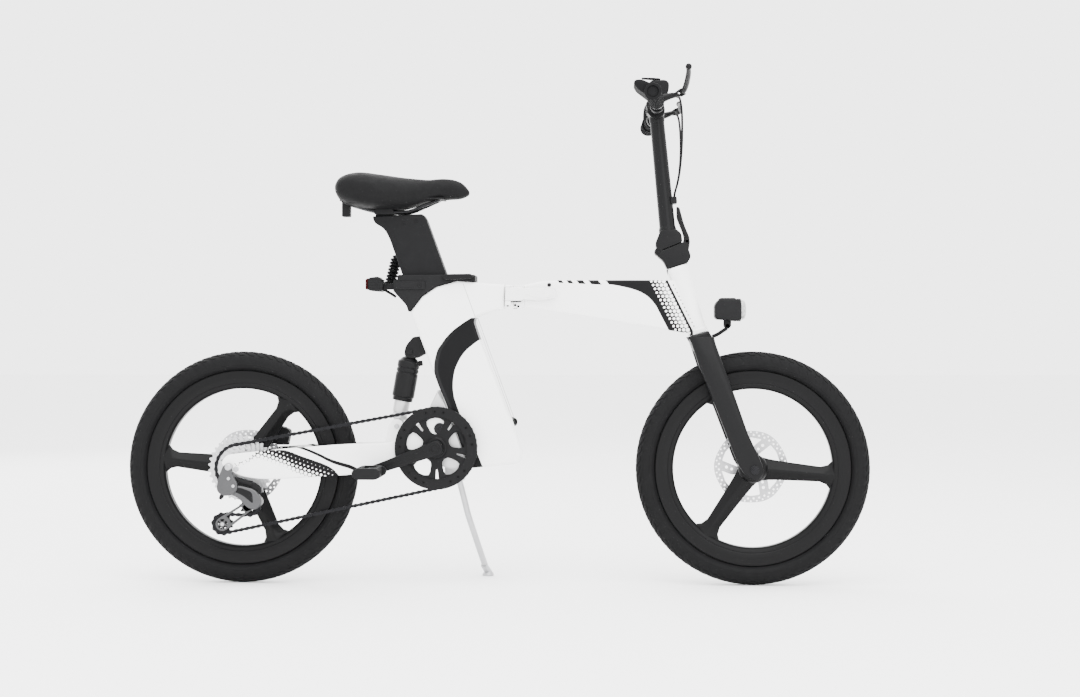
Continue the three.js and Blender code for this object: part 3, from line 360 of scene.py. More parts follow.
striped.printed(stripe, WHITE, stripe_colour)
CASING = [
    (-184.4, 587.8), (-106, 382), (-56, 251), (53, 262, 11), (56, 286, 4), (32, 355), (-34.6, 528, 12),
    (-50, 574, 18), (-22.5, 585, 14), (17, 595), (20, 646.5), (-83, 654.6), (-128, 642), (-158.7, 621),
]
assemble("casing", [plate(CASING, -32, 32, 6.0)], striped, "rear_frame", "rear_frame")

# The parting seam is a thin grey strip laid on each flank, not a cut groove: painted light and shade of the
# groove, darker than the white enamel and lighter than the black stripe it crosses.
seam = moulded("seam_painted_shade", (0.25, 0.25, 0.25), 0.7)
assemble("casing_seams", [
    plate([(-70.4, 647.8), (-69.4, 648.2), (36.8, 356.6), (35.8, 356.2)], -32.12, -31.9, 0.02),
    plate([(-70.4, 647.8), (-69.4, 648.2), (36.8, 356.6), (35.8, 356.2)], 31.9, 32.12, 0.02),
], seam, "rear_frame")


# ---- Tyres ----
# Black 20 inch tyres with rounded shoulders and slanted tread blocks, seated on the rims.
# The blocks are one moulded lug repeated round each side.
AXLES = {"rear": (-552.0, 0.0, 251.5), "front": (552.0, 0.0, 251.5)}
TREAD_HEIGHT = 1.5
HALF_TYRE = [
    (0, 251.4), (4, 251.2), (10, 249.7), (16, 246.4), (21, 240.6), (24, 233.5), (25, 227), (24.2, 221),
    (21, 216.6), (16, 213.6), (11.6, 211.8),
]


def spun(base, axis, profile, sides=48, hollow=False, steps=4):
    """Turned part: (distance, radius, fillet) corners spun about an axis from a base point."""
    path = rounded(profile, steps, closed=hollow)
    shape = bmesh.new()
    turn = Vector((0, 0, 1)).rotation_difference(Vector(axis)).to_matrix()
    rings = []
    for distance, radius in path:
        ring = []
        for step in range(sides):
            angle = 2 * math.pi * step / sides
            spot = Vector((radius * math.cos(angle), radius * math.sin(angle), distance))
            ring.append(shape.verts.new(turn @ spot + Vector(base)))
        rings.append(ring)
    pairs = list(zip(rings, rings[1:]))
    if hollow:
        pairs.append((rings[-1], rings[0]))
    for lower, upper in pairs:
        for side in range(sides):
            shape.faces.new((lower[side - 1], lower[side], upper[side], upper[side - 1]))
    if not hollow:
        shape.faces.new(rings[0])
        shape.faces.new(rings[-1])
    bmesh.ops.remove_doubles(shape, verts=shape.verts, dist=0.002)
    bmesh.ops.recalc_face_normals(shape, faces=shape.faces)
    return shape


def ring_tree(name="ring_of_pieces"):
    """Geometry Nodes tree that repeats a piece round a cross axis."""
    tree = bpy.data.node_groups.new(name, "GeometryNodeTree")
    face = tree.interface
    face.new_socket("Geometry", in_out="INPUT", socket_type="NodeSocketGeometry")
    face.new_socket("Count", in_out="INPUT", socket_type="NodeSocketInt")
    face.new_socket("Centre", in_out="INPUT", socket_type="NodeSocketVector")
    face.new_socket("Material", in_out="INPUT", socket_type="NodeSocketMaterial")
    face.new_socket("Geometry", in_out="OUTPUT", socket_type="NodeSocketGeometry")
    nodes, link = tree.nodes, tree.links.new
    given, made = nodes.new("NodeGroupInput"), nodes.new("NodeGroupOutput")
    back = nodes.new("ShaderNodeVectorMath")
    back.operation = "SCALE"
    back.inputs["Scale"].default_value = -1.0
    link(given.outputs["Centre"], back.inputs[0])
    to_centre = nodes.new("GeometryNodeTransform")
    link(given.outputs["Geometry"], to_centre.inputs["Geometry"])
    link(back.outputs[0], to_centre.inputs["Translation"])
    points = nodes.new("GeometryNodePoints")
    link(given.outputs["Count"], points.inputs["Count"])
    link(given.outputs["Centre"], points.inputs["Position"])
    turn = nodes.new("ShaderNodeMath")
    turn.operation = "DIVIDE"
    link(nodes.new("GeometryNodeInputIndex").outputs[0], turn.inputs[0])
    link(given.outputs["Count"], turn.inputs[1])
    full = nodes.new("ShaderNodeMath")
    full.operation = "MULTIPLY"
    full.inputs[1].default_value = 2 * math.pi
    link(turn.outputs[0], full.inputs[0])
    spin = nodes.new("ShaderNodeCombineXYZ")
    link(full.outputs[0], spin.inputs["Y"])
    copies = nodes.new("GeometryNodeInstanceOnPoints")
    link(points.outputs[0], copies.inputs["Points"])
    link(to_centre.outputs[0], copies.inputs["Instance"])
    link(spin.outputs[0], copies.inputs["Rotation"])
    solid = nodes.new("GeometryNodeRealizeInstances")
    link(copies.outputs[0], solid.inputs[0])
    dressed = nodes.new("GeometryNodeSetMaterial")
    link(solid.outputs[0], dressed.inputs["Geometry"])
    link(given.outputs["Material"], dressed.inputs["Material"])
    link(dressed.outputs[0], made.inputs[0])
    return tree


RING_TREE = ring_tree()


def baked(shapes, tree, **values):
    """Run shapes made in millimetres through a tree, and give the result back as a shape."""
    whole = bmesh.new()
    for shape in shapes:
        part = bpy.data.meshes.new("part")
        shape.to_mesh(part)
        shape.free()
        whole.from_mesh(part)
        bpy.data.meshes.remove(part)
    mesh = bpy.data.meshes.new("single")
    whole.to_mesh(mesh)
    whole.free()
    single = bpy.data.objects.new("single", mesh)
    bpy.context.collection.objects.link(single)
    repeat = single.modifiers.new("repeat", "NODES")
    repeat.node_group = tree
    for item in tree.interface.items_tree:
        if item.in_out == "INPUT" and item.name in values:
            repeat[item.identifier] = values[item.name]
    graph = bpy.context.evaluated_depsgraph_get()
    result = bpy.data.meshes.new_from_object(single.evaluated_get(graph))
    single.modifiers.remove(repeat)
    shape = bmesh.new()
    shape.from_mesh(result)
    for face in shape.faces:
        face.material_index = 0
    bpy.data.objects.remove(single)
    bpy.data.meshes.remove(mesh)
    bpy.data.meshes.remove(result)
    return shape


def round_the_axle(shapes, count, centre, finish):
    return baked(shapes, RING_TREE, Count=count, Centre=centre, Material=finish.material)


def on_tyre(share, lift=0.0):
    """Point (y, radius) on the tyre's half profile, share 0 at the crown and 1 at the bead."""
    place = share * (len(HALF_TYRE) - 1)
    index = min(int(place), len(HALF_TYRE) - 2)
    (y0, r0), (y1, r1) = HALF_TYRE[index], HALF_TYRE[index + 1]
    t = place - index
    out = Vector((r1 - r0, y0 - y1)).normalized() * -lift
    return y0 + (y1 - y0) * t + out.x, r0 + (r1 - r0) * t + out.y


def lug(centre, side, first, last, sweep, width, bow=0.0):
    """One tread block that leans from the crown round the shoulder, in degrees round the tyre."""
    shape = bmesh.new()
    rows = []
    for step in range(7):
        along = step / 6
        share = first + (last - first) * along
        lean = sweep * along + bow * math.sin(math.pi * along)
        taper = width * (1.0 - 0.25 * along)
        row = []
        for turn, lift in (
            (-taper / 2, -1.2), (-taper / 2, TREAD_HEIGHT), (taper / 2, TREAD_HEIGHT), (taper / 2, -1.2),
        ):
            inset = 0.12 if lift > 0 else 0.0
            across, radius = on_tyre(share, lift - TREAD_HEIGHT)
            angle = math.radians(lean + turn * (1 - inset))
            row.append(shape.verts.new((
                centre[0] + radius * math.cos(angle), side * across, centre[2] + radius * math.sin(angle),
            )))
        rows.append(row)
    for lower, upper in zip(rows, rows[1:]):
        for corner in range(4):
            shape.faces.new((lower[corner - 1], lower[corner], upper[corner], upper[corner - 1]))
    shape.faces.new(rows[0])
    shape.faces.new(rows[-1])
    bmesh.ops.recalc_face_normals(shape, faces=shape.faces)
    return shape


tyre_rubber = moulded("tyre_rubber", (0.0042, 0.0042, 0.0044), 0.6, 1.1, 0.06)
carcass = [(side * y, radius - TREAD_HEIGHT) for side, y, radius in (
    [(-1, y, r) for y, r in reversed(HALF_TYRE)] + [(1, y, r) for y, r in HALF_TYRE[1:]]
)]
carcass += [(11.2, 203.8), (-11.2, 203.8)]
for end, axle in AXLES.items():
    tread = []
    for side in (-1, 1):
        tread.append(lug(axle, side, 0.07, 0.36, 5.0 * side, 3.4))
        tread.append(lug(axle, side, 0.42, 0.72, 3.5 * side, 3.0))
    blocks = round_the_axle(tread, 72, axle, tyre_rubber)
    wall_rings = [
        spun(axle, (0, 1, 0),
            [(side * 24.9, 224.2), (side * 25.4, 223.2), (side * 24.9, 222.2), (side * 23, 223.2)],
             120, hollow=True)
        for side in (-1, 1)
    ]
    casing_of_tyre = spun(axle, (0, 1, 0), carcass, 160, hollow=True)
    assemble(end + "_tyre_rubber", [casing_of_tyre, blocks, *wall_rings], tyre_rubber, end + "_wheel",
        end + "_tyre",
             crease=30)


# ---- Cast wheels ----
# One-piece black alloy wheels: a deep rim with a bead groove, three spokes with a raised spine,
# and a hub barrel; the rear barrel is the wider motor hub.
def spoke(centre, degrees):
    """A tapered spoke whose faces rise to a spine, from the hub barrel to the rim."""
    stations = [
        (20, 25, 21, 9), (34, 22.5, 19, 8), (60, 20.2, 15.5, 6.5), (105, 18, 14, 6), (145, 16, 13.5, 6),
        (160, 21, 13.5, 6.5), (168, 30, 13.5, 7), (176, 40, 13, 7.5),
    ]
    shape = bmesh.new()
    rings = []
    for radius, half_width, spine, rim in stations:
        section = [
            (-half_width, -rim * 0.4), (-half_width, rim * 0.4), (-half_width * 0.82, rim), (-2.4, spine),
            (2.4, spine), (half_width * 0.82, rim), (half_width, rim * 0.4), (half_width, -rim * 0.4),
            (half_width * 0.82, -rim), (2.4, -spine), (-2.4, -spine), (-half_width * 0.82, -rim),
        ]
        angle = math.radians(degrees)
        ring = []
        for across, depth in section:
            ring.append(shape.verts.new((
                centre[0] + radius * math.cos(angle) - across * math.sin(angle), depth,
                centre[2] + radius * math.sin(angle) + across * math.cos(angle),
            )))
        rings.append(ring)
    for lower, upper in zip(rings, rings[1:]):
        for corner in range(12):
            shape.faces.new((lower[corner - 1], lower[corner], upper[corner], upper[corner - 1]))
    shape.faces.new(rings[0])
    shape.faces.new(rings[-1])
    bmesh.ops.recalc_face_normals(shape, faces=shape.faces)
    return shape


wheel_enamel = enamel("wheel_enamel", (0.0038, 0.0038, 0.004), 0.34, 0.04)
RIM = [
    (-9, 170.5, 1.5), (-13.5, 175, 2), (-14.6, 181, 1), (-13.6, 182.2, 0.5), (-14.8, 183.6, 1), (-16, 192, 2),
    (-16, 209, 1), (-13, 210, 1), (-12, 203.8, 1), (12, 203.8, 1), (13, 210, 1), (16, 209, 1), (16, 192, 2),
    (14.8, 183.6, 1), (13.6, 182.2, 0.5), (14.6, 181, 1), (13.5, 175, 2), (9, 170.5, 1.5),
]
HUBS = {
    "rear": [
        (-27.5, 8), (-27.5, 34, 2), (-22, 38, 2), (24, 38, 2), (34, 34, 2), (38, 24, 1), (43.6, 24, 1),
        (43.6, 8),
    ],
    "front": [
        (-48, 7), (-48, 12, 1), (-35, 15, 3), (-28, 26, 4), (-20, 31.5, 3), (22, 31.5, 3), (34, 26, 2),
        (38, 24, 1),
        (43.6, 24, 1), (43.6, 7),
    ],
}
SPOKES = {"rear": (174, 54.5, 295), "front": (355, 235, 115)}
for end, axle in AXLES.items():
    shapes = [spun(axle, (0, 1, 0), RIM, 160, hollow=True), spun(axle, (0, 1, 0), HUBS[end], 64)]
    shapes += [spoke(axle, degrees) for degrees in SPOKES[end]]
    assemble(end + "_cast_wheel", shapes, wheel_enamel, end + "_wheel", end + "_wheel", crease=28)


# ---- Brake discs ----
# Stamped stainless discs 160 mm across on the left of both hubs, with a wavy edge, two rows of
# holes and six leaning arms, held by a ring of six bolts.
def circle(x, y, radius, sides=16):
    return [
        (x + radius * math.cos(2 * math.pi * side / sides), y + radius * math.sin(2 * math.pi * side / sides))
        for side in range(sides)
    ]


def about(centre, radius, degrees):
    angle = math.radians(degrees)
    return centre[0] + radius * math.cos(angle), centre[1] + radius * math.sin(angle)


disc_steel = metal("disc_steel", (0.4, 0.4, 0.41), 0.32)
for end, axle in AXLES.items():
    middle = (axle[0], axle[2])
    edge_points = [
        about(middle, 79.0 + 1.0 * math.cos(math.radians(12 * step)), step * 2)
        for step in range(180)
    ]
    holes = [circle(*about(middle, 75.4, 10 * step), 2.0, 12) for step in range(36)]
    holes += [circle(*about(middle, 69.6, 10 * step + 5), 2.3, 12) for step in range(36)]
    for arm in range(6):
        turn = 60 * arm
        holes.append([
            (*about(middle, 64, turn + 8), 3), (
                *about(middle, 64, turn + 30), 3,
            ), (*about(middle, 64, turn + 48), 3),
            (*about(middle, 29, turn + 60), 3), (
                *about(middle, 28.5, turn + 35), 3,
            ), (*about(middle, 46, turn + 22), 6),
        ])
        holes.append(circle(*about(middle, 42, turn + 7), 3.0, 14))
        holes.append(circle(*about(middle, 53, turn + 1), 3.4, 14))
    holes.append(circle(*middle, 15.5, 32))
    disc = plate(edge_points, 44, 46, 0.15, holes, steps=3)
    assemble(end + "_brake_disc", [disc], disc_steel, end + "_wheel", end + "_brake_rotor")
    bolt_at = about(middle, 22, 0)
    bolt = spun(
        (bolt_at[0], 45.5, bolt_at[1]), (0, 1, 0),
        [(0, 0.3), (0, 3.6), (2.4, 3.6, 0.8), (2.4, 1.6), (1.2, 1.4), (1.2, 0.2)], 12,
    )
    bolts = round_the_axle([bolt], 6, axle, bright_steel)
    assemble(end + "_disc_bolts", [bolts], bright_steel, end + "_wheel")


# ---- Cassette ----
# Seven stamped sprockets on the right of the rear hub, largest inside, each with windows that
# save weight, stacked on a splined body.
def sprocket(centre, teeth, pitch_radius, y0, thickness, holes=(), height=3.4):
    """Outline of a toothed wheel for a half inch pitch chain, given thickness."""
    outline = []
    for tooth in range(teeth):
        step = 360.0 / teeth
        for share, lift in ((0.0, -height), (0.16, -height * 0.75), (0.34, height * 0.4),
            (0.44, height * 0.75),
                            (0.56, height * 0.75), (0.66, height * 0.4), (0.84, -height * 0.75)):
            outline.append(about(centre, pitch_radius + lift, step * (tooth + share)))
    return plate(outline, y0, y0 + thickness, 0.25, holes, steps=2)


sprocket_steel = metal("sprocket_steel", (0.5, 0.5, 0.51), 0.34)
rear_centre = (-552.0, 251.5)
cogs = []
for teeth, y0 in ((34, -32), (31, -36.6), (28, -41.2), (25, -46), (21, -50.8), (17, -55.4), (13, -60)):
    radius = teeth * 2.02
    holes = []
    if teeth > 17:
        count = 12 if teeth > 28 else 8
        for hole in range(count):
            holes.append(
                circle(*about(rear_centre, radius - 10.5, 360 / count * (hole + teeth % 2 * 0.5)), 3.6, 12),
            )
    if teeth > 25:
        for hole in range(6):
            holes.append(circle(*about(rear_centre, radius - 23, 60 * hole + teeth * 7), 5.6, 14))
    cogs.append(sprocket(rear_centre, teeth, radius, y0 - 0.9, 1.8, holes))
axle = AXLES["rear"]
cogs.append(
    spun(
        (axle[0], -62.3, axle[2]), (0, 1, 0), [(0, 12), (0, 19.5, 1), (2, 21, 1), (31.7, 21), (31.7, 12)],
        48, hollow=True,
    ),
)
assemble("sprockets", cogs, sprocket_steel, "cassette", "cassette")


# ---- Chain ----
# Dark half inch pitch roller chain: pairs of waisted plates on rollers, repeated along the route
# over the chainring, both jockey wheels and the sprocket in use.
CRANK = (-127.0, 295.5)
GUIDE_WHEEL = (-530.0, 171.0)
TENSION_WHEEL = (-588.0, 131.0)
CHAIN_LINE = -46.0


def chain_route():
    """Closed line of the chain in the side view, in millimetres."""
    wheels = [(CRANK, 85.0, -1), (TENSION_WHEEL, 20.5, -1), (GUIDE_WHEEL, 20.5, 1), (rear_centre, 50.7, -1)]

    def leaving(start, end):
        (ax, az), ar, asense = start
        (bx, bz), br, bsense = end
        across = bsense * br - asense * ar
        return math.atan2(bz - az, bx - ax) - math.asin(across / math.hypot(bx - ax, bz - az))

    points = []
    for index, wheel in enumerate(wheels):
        (cx, cz), radius, sense = wheel
        arrive = leaving(wheels[index - 1], wheel) - sense * math.pi / 2
        depart = leaving(wheel, wheels[(index + 1) % 4]) - sense * math.pi / 2
        sweep = sense * ((sense * (depart - arrive)) % (2 * math.pi))
        steps = max(6, math.ceil(abs(sweep) * radius / 4))
        for step in range(steps + 1):
            angle = arrive + sweep * step / steps
            points.append((cx + radius * math.cos(angle), cz + radius * math.sin(angle)))
    return points


def chain_link(outer):
    """One link at the origin along X: two waisted plates, and on the inner links two rollers."""
    depth = 3.1 if outer else 2.2
    profile = []
    for side in range(12):
        angle = math.radians(-100 + side * 200 / 11)
        profile.append((6.35 + 4.1 * math.cos(angle), 4.1 * math.sin(angle)))
    outline = profile + [(0, 2.6)] + [(-x, -z) for x, z in profile] + [(0, -2.6)]
    shape = bmesh.new()
    for y0 in (-depth - 0.5, depth - 0.5):
        low = [shape.verts.new((x, y0, z)) for x, z in outline]
        high = [shape.verts.new((x, y0 + 1.0, z)) for x, z in outline]
        shape.faces.new(low)
        shape.faces.new(high)
        for corner in range(len(outline)):
            shape.faces.new((low[corner - 1], low[corner], high[corner], high[corner - 1]))
    for x in (-6.35, 6.35) if not outer else ():
        bottom = [
            shape.verts.new((x + 3.6 * math.cos(a * math.pi / 4), -2, 3.6 * math.sin(a * math.pi / 4)))
            for a in range(8)
        ]
        top = [shape.verts.new((vertex.co.x, 2, vertex.co.z)) for vertex in bottom]
        for corner in range(8):
            shape.faces.new((bottom[corner - 1], bottom[corner], top[corner], top[corner - 1]))
    bmesh.ops.recalc_face_normals(shape, faces=shape.faces)
    return shape


def route_tree(name="links_on_a_route"):
    """Geometry Nodes tree that sets link objects one after another along a closed route."""
    tree = bpy.data.node_groups.new(name, "GeometryNodeTree")
    face = tree.interface
    face.new_socket("Geometry", in_out="INPUT", socket_type="NodeSocketGeometry")
    face.new_socket("Count", in_out="INPUT", socket_type="NodeSocketInt")
    face.new_socket("Outer", in_out="INPUT", socket_type="NodeSocketObject")
    face.new_socket("Inner", in_out="INPUT", socket_type="NodeSocketObject")
    face.new_socket("Material", in_out="INPUT", socket_type="NodeSocketMaterial")
    face.new_socket("Geometry", in_out="OUTPUT", socket_type="NodeSocketGeometry")
    nodes, link = tree.nodes, tree.links.new
    given, made = nodes.new("NodeGroupInput"), nodes.new("NodeGroupOutput")
    curve = nodes.new("GeometryNodeMeshToCurve")
    link(given.outputs["Geometry"], curve.inputs[0])
    even = nodes.new("GeometryNodeResampleCurve")
    link(curve.outputs[0], even.inputs["Curve"])
    link(given.outputs["Count"], even.inputs["Count"])
    align = nodes.new("FunctionNodeAlignRotationToVector")
    align.axis = "X"
    align.pivot_axis = "Y"
    link(nodes.new("GeometryNodeInputTangent").outputs[0], align.inputs["Vector"])
    remainder = nodes.new("ShaderNodeMath")
    remainder.operation = "MODULO"
    remainder.inputs[1].default_value = 2.0
    link(nodes.new("GeometryNodeInputIndex").outputs[0], remainder.inputs[0])
    opposite = nodes.new("ShaderNodeMath")
    opposite.operation = "SUBTRACT"
    opposite.inputs[0].default_value = 1.0
    link(remainder.outputs[0], opposite.inputs[1])
    every = nodes.new("GeometryNodeJoinGeometry")
    for socket, choice in (("Outer", remainder), ("Inner", opposite)):
        shown = nodes.new("GeometryNodeObjectInfo")
        link(given.outputs[socket], shown.inputs["Object"])
        copies = nodes.new("GeometryNodeInstanceOnPoints")
        link(even.outputs[0], copies.inputs["Points"])
        link(choice.outputs[0], copies.inputs["Selection"])
        link(shown.outputs["Geometry"], copies.inputs["Instance"])
        link(align.outputs[0], copies.inputs["Rotation"])
        link(copies.outputs[0], every.inputs[0])
    solid = nodes.new("GeometryNodeRealizeInstances")
    link(every.outputs[0], solid.inputs[0])
    dressed = nodes.new("GeometryNodeSetMaterial")
    link(solid.outputs[0], dressed.inputs["Geometry"])
    link(given.outputs["Material"], dressed.inputs["Material"])
    link(dressed.outputs[0], made.inputs[0])
    return tree


route = chain_route()
length = sum(math.dist(a, b) for a, b in zip(route, route[1:] + route[:1]))
links = 2 * round(length / 12.7 / 2)
loop = bmesh.new()
spots = [loop.verts.new((px, CHAIN_LINE, pz)) for px, pz in route]
for index in range(len(spots)):
    loop.edges.new((spots[index - 1], spots[index]))
holders = []
for outer in (True, False):
    link_mesh = bpy.data.meshes.new("link")
    link_shape = chain_link(outer)
    link_shape.to_mesh(link_mesh)
    link_shape.free()
    holder = bpy.data.objects.new("link", link_mesh)
    bpy.context.collection.objects.link(holder)
    holders.append(holder)
chain_steel = metal("chain_steel", (0.012, 0.012, 0.013), 0.4)
chain_shape = baked(
    [loop], route_tree(), Count=links, Outer=holders[0], Inner=holders[1], Material=chain_steel.material,
)
for holder in holders:
    bpy.data.objects.remove(holder)
chain_piece = assemble("drive_chain", [chain_shape], chain_steel, None, "chain")
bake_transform(chain_piece)


# ---- Rear derailleur ----
# Grey cast knuckle and link outside the gears, hung on the domed hanger bolt, with a pressed
# cage that holds two toothed jockey wheels.
CAGE_PIVOT = (-509.0, 182.0)
knuckle = plate([
    (-577, 262, 10), (-560, 262, 6), (-559, 240, 8), (-547, 222, 6), (-547, 209, 6), (-556, 197, 8),
    (-579, 194, 10),
    (-593, 206, 12), (-589, 232, 10),
], -92, -80.5, 2.5)
link_arm = plate([
    (-568, 215, 7), (-545, 217, 8), (-508, 208, 14), (-494, 184, 14), (-506, 164, 14), (-526, 168, 8),
    (-546, 190, 10), (-568, 200, 7),
], -88, -74, 3.0)
eye = spun(
    (CAGE_PIVOT[0], -87.6, CAGE_PIVOT[1]), (0, 1, 0),
    [(0, 3), (0, 10, 1), (2, 12.6, 1.5), (24.6, 12.6, 1), (24.6, 3)], 40,
)
assemble("derailleur_arm", [knuckle, link_arm, eye], grey_alloy, "swingarm", "derailleur_body")
inset = plate(
    [(-556, 211, 3), (-541, 212, 3), (-516, 203, 8), (-514, 178, 6), (-536, 196, 8), (-555, 204, 3)],
    -88.6, -87.8, 0.2,
)
back_link = plate([
    (-560, 236, 5), (-520, 226, 6), (-500, 214, 6), (-497, 200, 6), (-512, 196, 6), (-540, 212, 6),
    (-560, 220, 5),
], -79.8, -70, 2.0)
springs = spun((-534, -75, 222), (0.96, 0, -0.28), [(-22, 1), (-22, 6.5, 1), (16, 6.5, 1), (16, 1)], 20)
barrel = spun(
    (-579, -86, 199), (-0.5, 0, -0.87), [(0, 4.6), (9, 4.6, 1), (9, 3.6), (13, 3.6, 1), (13, 0.4)], 18,
)
assemble("derailleur_links", [inset, back_link, springs, barrel], black_plastic, "swingarm")
dome = spun((-567.5, -80.4, 256), (0, -1, 0), [(0, 0.5), (0, 9, 1), (9, 9, 3), (13, 5.5, 3), (13.8, 0.4)], 36)
screws = [spun((px, -91.8, pz), (0, -1, 0),
    [(0, 0.4), (0, 3.4), (1.6, 3.4, 0.5), (1.6, 1.5), (0.8, 1.4), (0.8, 0.2)], 14)
          for px, pz in ((-566, 232), (-556, 216))]
assemble("derailleur_bolts", [dome, *screws], bright_steel, "swingarm")

lean = math.degrees(math.atan2(GUIDE_WHEEL[1] - TENSION_WHEEL[1], GUIDE_WHEEL[0] - TENSION_WHEEL[0]))
cage_line = [about(GUIDE_WHEEL, 11, lean + turn) for turn in range(-90, 91, 15)]
cage_line += [about(TENSION_WHEEL, 15, lean + turn) for turn in range(90, 271, 15)]
cage_window = [about(GUIDE_WHEEL, 14.5, lean + 180 + turn) for turn in (32, 10, -10, -32)]
cage_window += [about(TENSION_WHEEL, 18.5, lean + turn) for turn in (28, 10, -10, -28)]
tension_window = [
    [(*about(TENSION_WHEEL, 6.5, turn), 1), (*about(TENSION_WHEEL, 12, turn - 8), 2),
        (*about(TENSION_WHEEL, 12, turn + 48), 2),
     (*about(TENSION_WHEEL, 6.5, turn + 40), 1)]
    for turn in range(0, 360, 72)
]
web = plate([(-515, 196, 3), (-501, 172, 3), (-540, 156, 4), (-546, 168, 4)], -53, -50.6, 0.5)
plates = [
    plate(cage_line, -53, -50.7, 0.5, [cage_window, *tension_window], steps=2),
    plate(cage_line, -41.3, -39.7, 0.4, [cage_window, *tension_window], steps=2),
    web,
    spun((CAGE_PIVOT[0], -62.6, CAGE_PIVOT[1]), (0, 1, 0), [(0, 2), (0, 9), (12, 9), (12, 2)], 32),
]
assemble("jockey_cage", plates, grey_alloy, "derailleur_cage", "derailleur_cage")
cage_bolts = [spun((wheel[0], -54.4, wheel[1]), (0, 1, 0),
    [(0, 1.2), (0, 4, 0.8), (1.6, 4), (1.6, 2.4), (16, 2.4), (16, 0.5)], 20)
              for wheel in (GUIDE_WHEEL, TENSION_WHEEL)]
assemble("jockey_bolts", cage_bolts, bright_steel, "derailleur_cage")
for label, wheel in (("guide", GUIDE_WHEEL), ("tension", TENSION_WHEEL)):
    windows = [circle(*about(wheel, 10.5, 60 * hole), 2.0, 10) for hole in range(6)]
    toothed = sprocket(
        wheel, 11, 20.5, CHAIN_LINE - 1.1, 2.2, [*windows, circle(*wheel, 4.2, 20)], height=3.0,
    )
    sleeve = spun(
        (wheel[0], CHAIN_LINE - 3.5, wheel[1]), (0, 1, 0), [(0, 4.2), (0, 8, 0.6), (7, 8, 0.6), (7, 4.2)],
        28, hollow=True,
    )
    assemble(label + "_jockey_wheel", [toothed, sleeve], black_plastic, label + "_pulley", label + "_pulley")


# ---- Chainring, cranks and pedals ----
# Black pressed chainring with five rounded windows and a guard ring outside the chain, black
# forged crank arms on a square spindle, and folding-bike pedals with grip ribs.
five_windows = []
for arm in range(5):
    turn = 20 + 72 * arm
    five_windows.append([
        (*about(CRANK, 31, turn - 15), 7), (*about(CRANK, 63, turn - 21), 13), (*about(CRANK, 66, turn), 8),
        (*about(CRANK, 63, turn + 21), 13), (*about(CRANK, 31, turn + 15), 7),
    ])
small_windows = []
for arm in range(5):
    turn = 56 + 72 * arm
    for side in (-1, 1):
        small_windows.append(circle(*about(CRANK, 71, turn + side * 9), 2.2, 10))
    small_windows.append([
        (
            *about(CRANK, 66, turn - 3), 1,
        ), (*about(CRANK, 66, turn + 3), 1), (*about(CRANK, 46, turn + 2), 1),
        (*about(CRANK, 46, turn - 2), 1),
    ])
bore = circle(*CRANK, 9.3, 28)
ring = sprocket(CRANK, 42, 84.4, CHAIN_LINE - 1.4, 2.8, [*five_windows, *small_windows, bore], height=3.4)
guard_edge = [about(CRANK, 89, 4 * step) for step in range(90)]
guard_holes = [
    circle(*about(CRANK, 78, 72 * arm + 20 + side * 14), 2.6, 12)
    for arm in range(5) for side in (-1, 0, 1)
]
guard_holes.append([about(CRANK, 66.5, 6 * step) for step in range(60)])
guard = plate(guard_edge, -52, -49.8, 0.5, guard_holes, steps=1)
spider_hub = spun(
    (CRANK[0], CHAIN_LINE - 5.2, CRANK[1]), (0, 1, 0), [(0, 9.3), (0, 21, 1), (4, 25, 1), (4, 9.3)], 48,
    hollow=True,
)
posts = [spun((*about(CRANK, 72, 56 + 72 * arm)[:1], -52.4, about(CRANK, 72, 56 + 72 * arm)[1]), (0, 1, 0),
              [(0, 1.5), (0, 4.6, 0.8), (6, 4.6), (6, 1)], 18) for arm in range(5)]
assemble("chainring_and_guard", [ring, guard, spider_hub, *posts], black_enamel, "crank", "chainring")

CRANK_LENGTH = 140.0
CRANK_TURN = 199.5


def turned_outline(corners, centre, degrees):
    angle = math.radians(degrees)
    return [
        (
            centre[0] + px * math.cos(angle) - pz * math.sin(angle),
            centre[1] + px * math.sin(angle) + pz * math.cos(angle), *more,
        )
        for px, pz, *more in corners
    ]


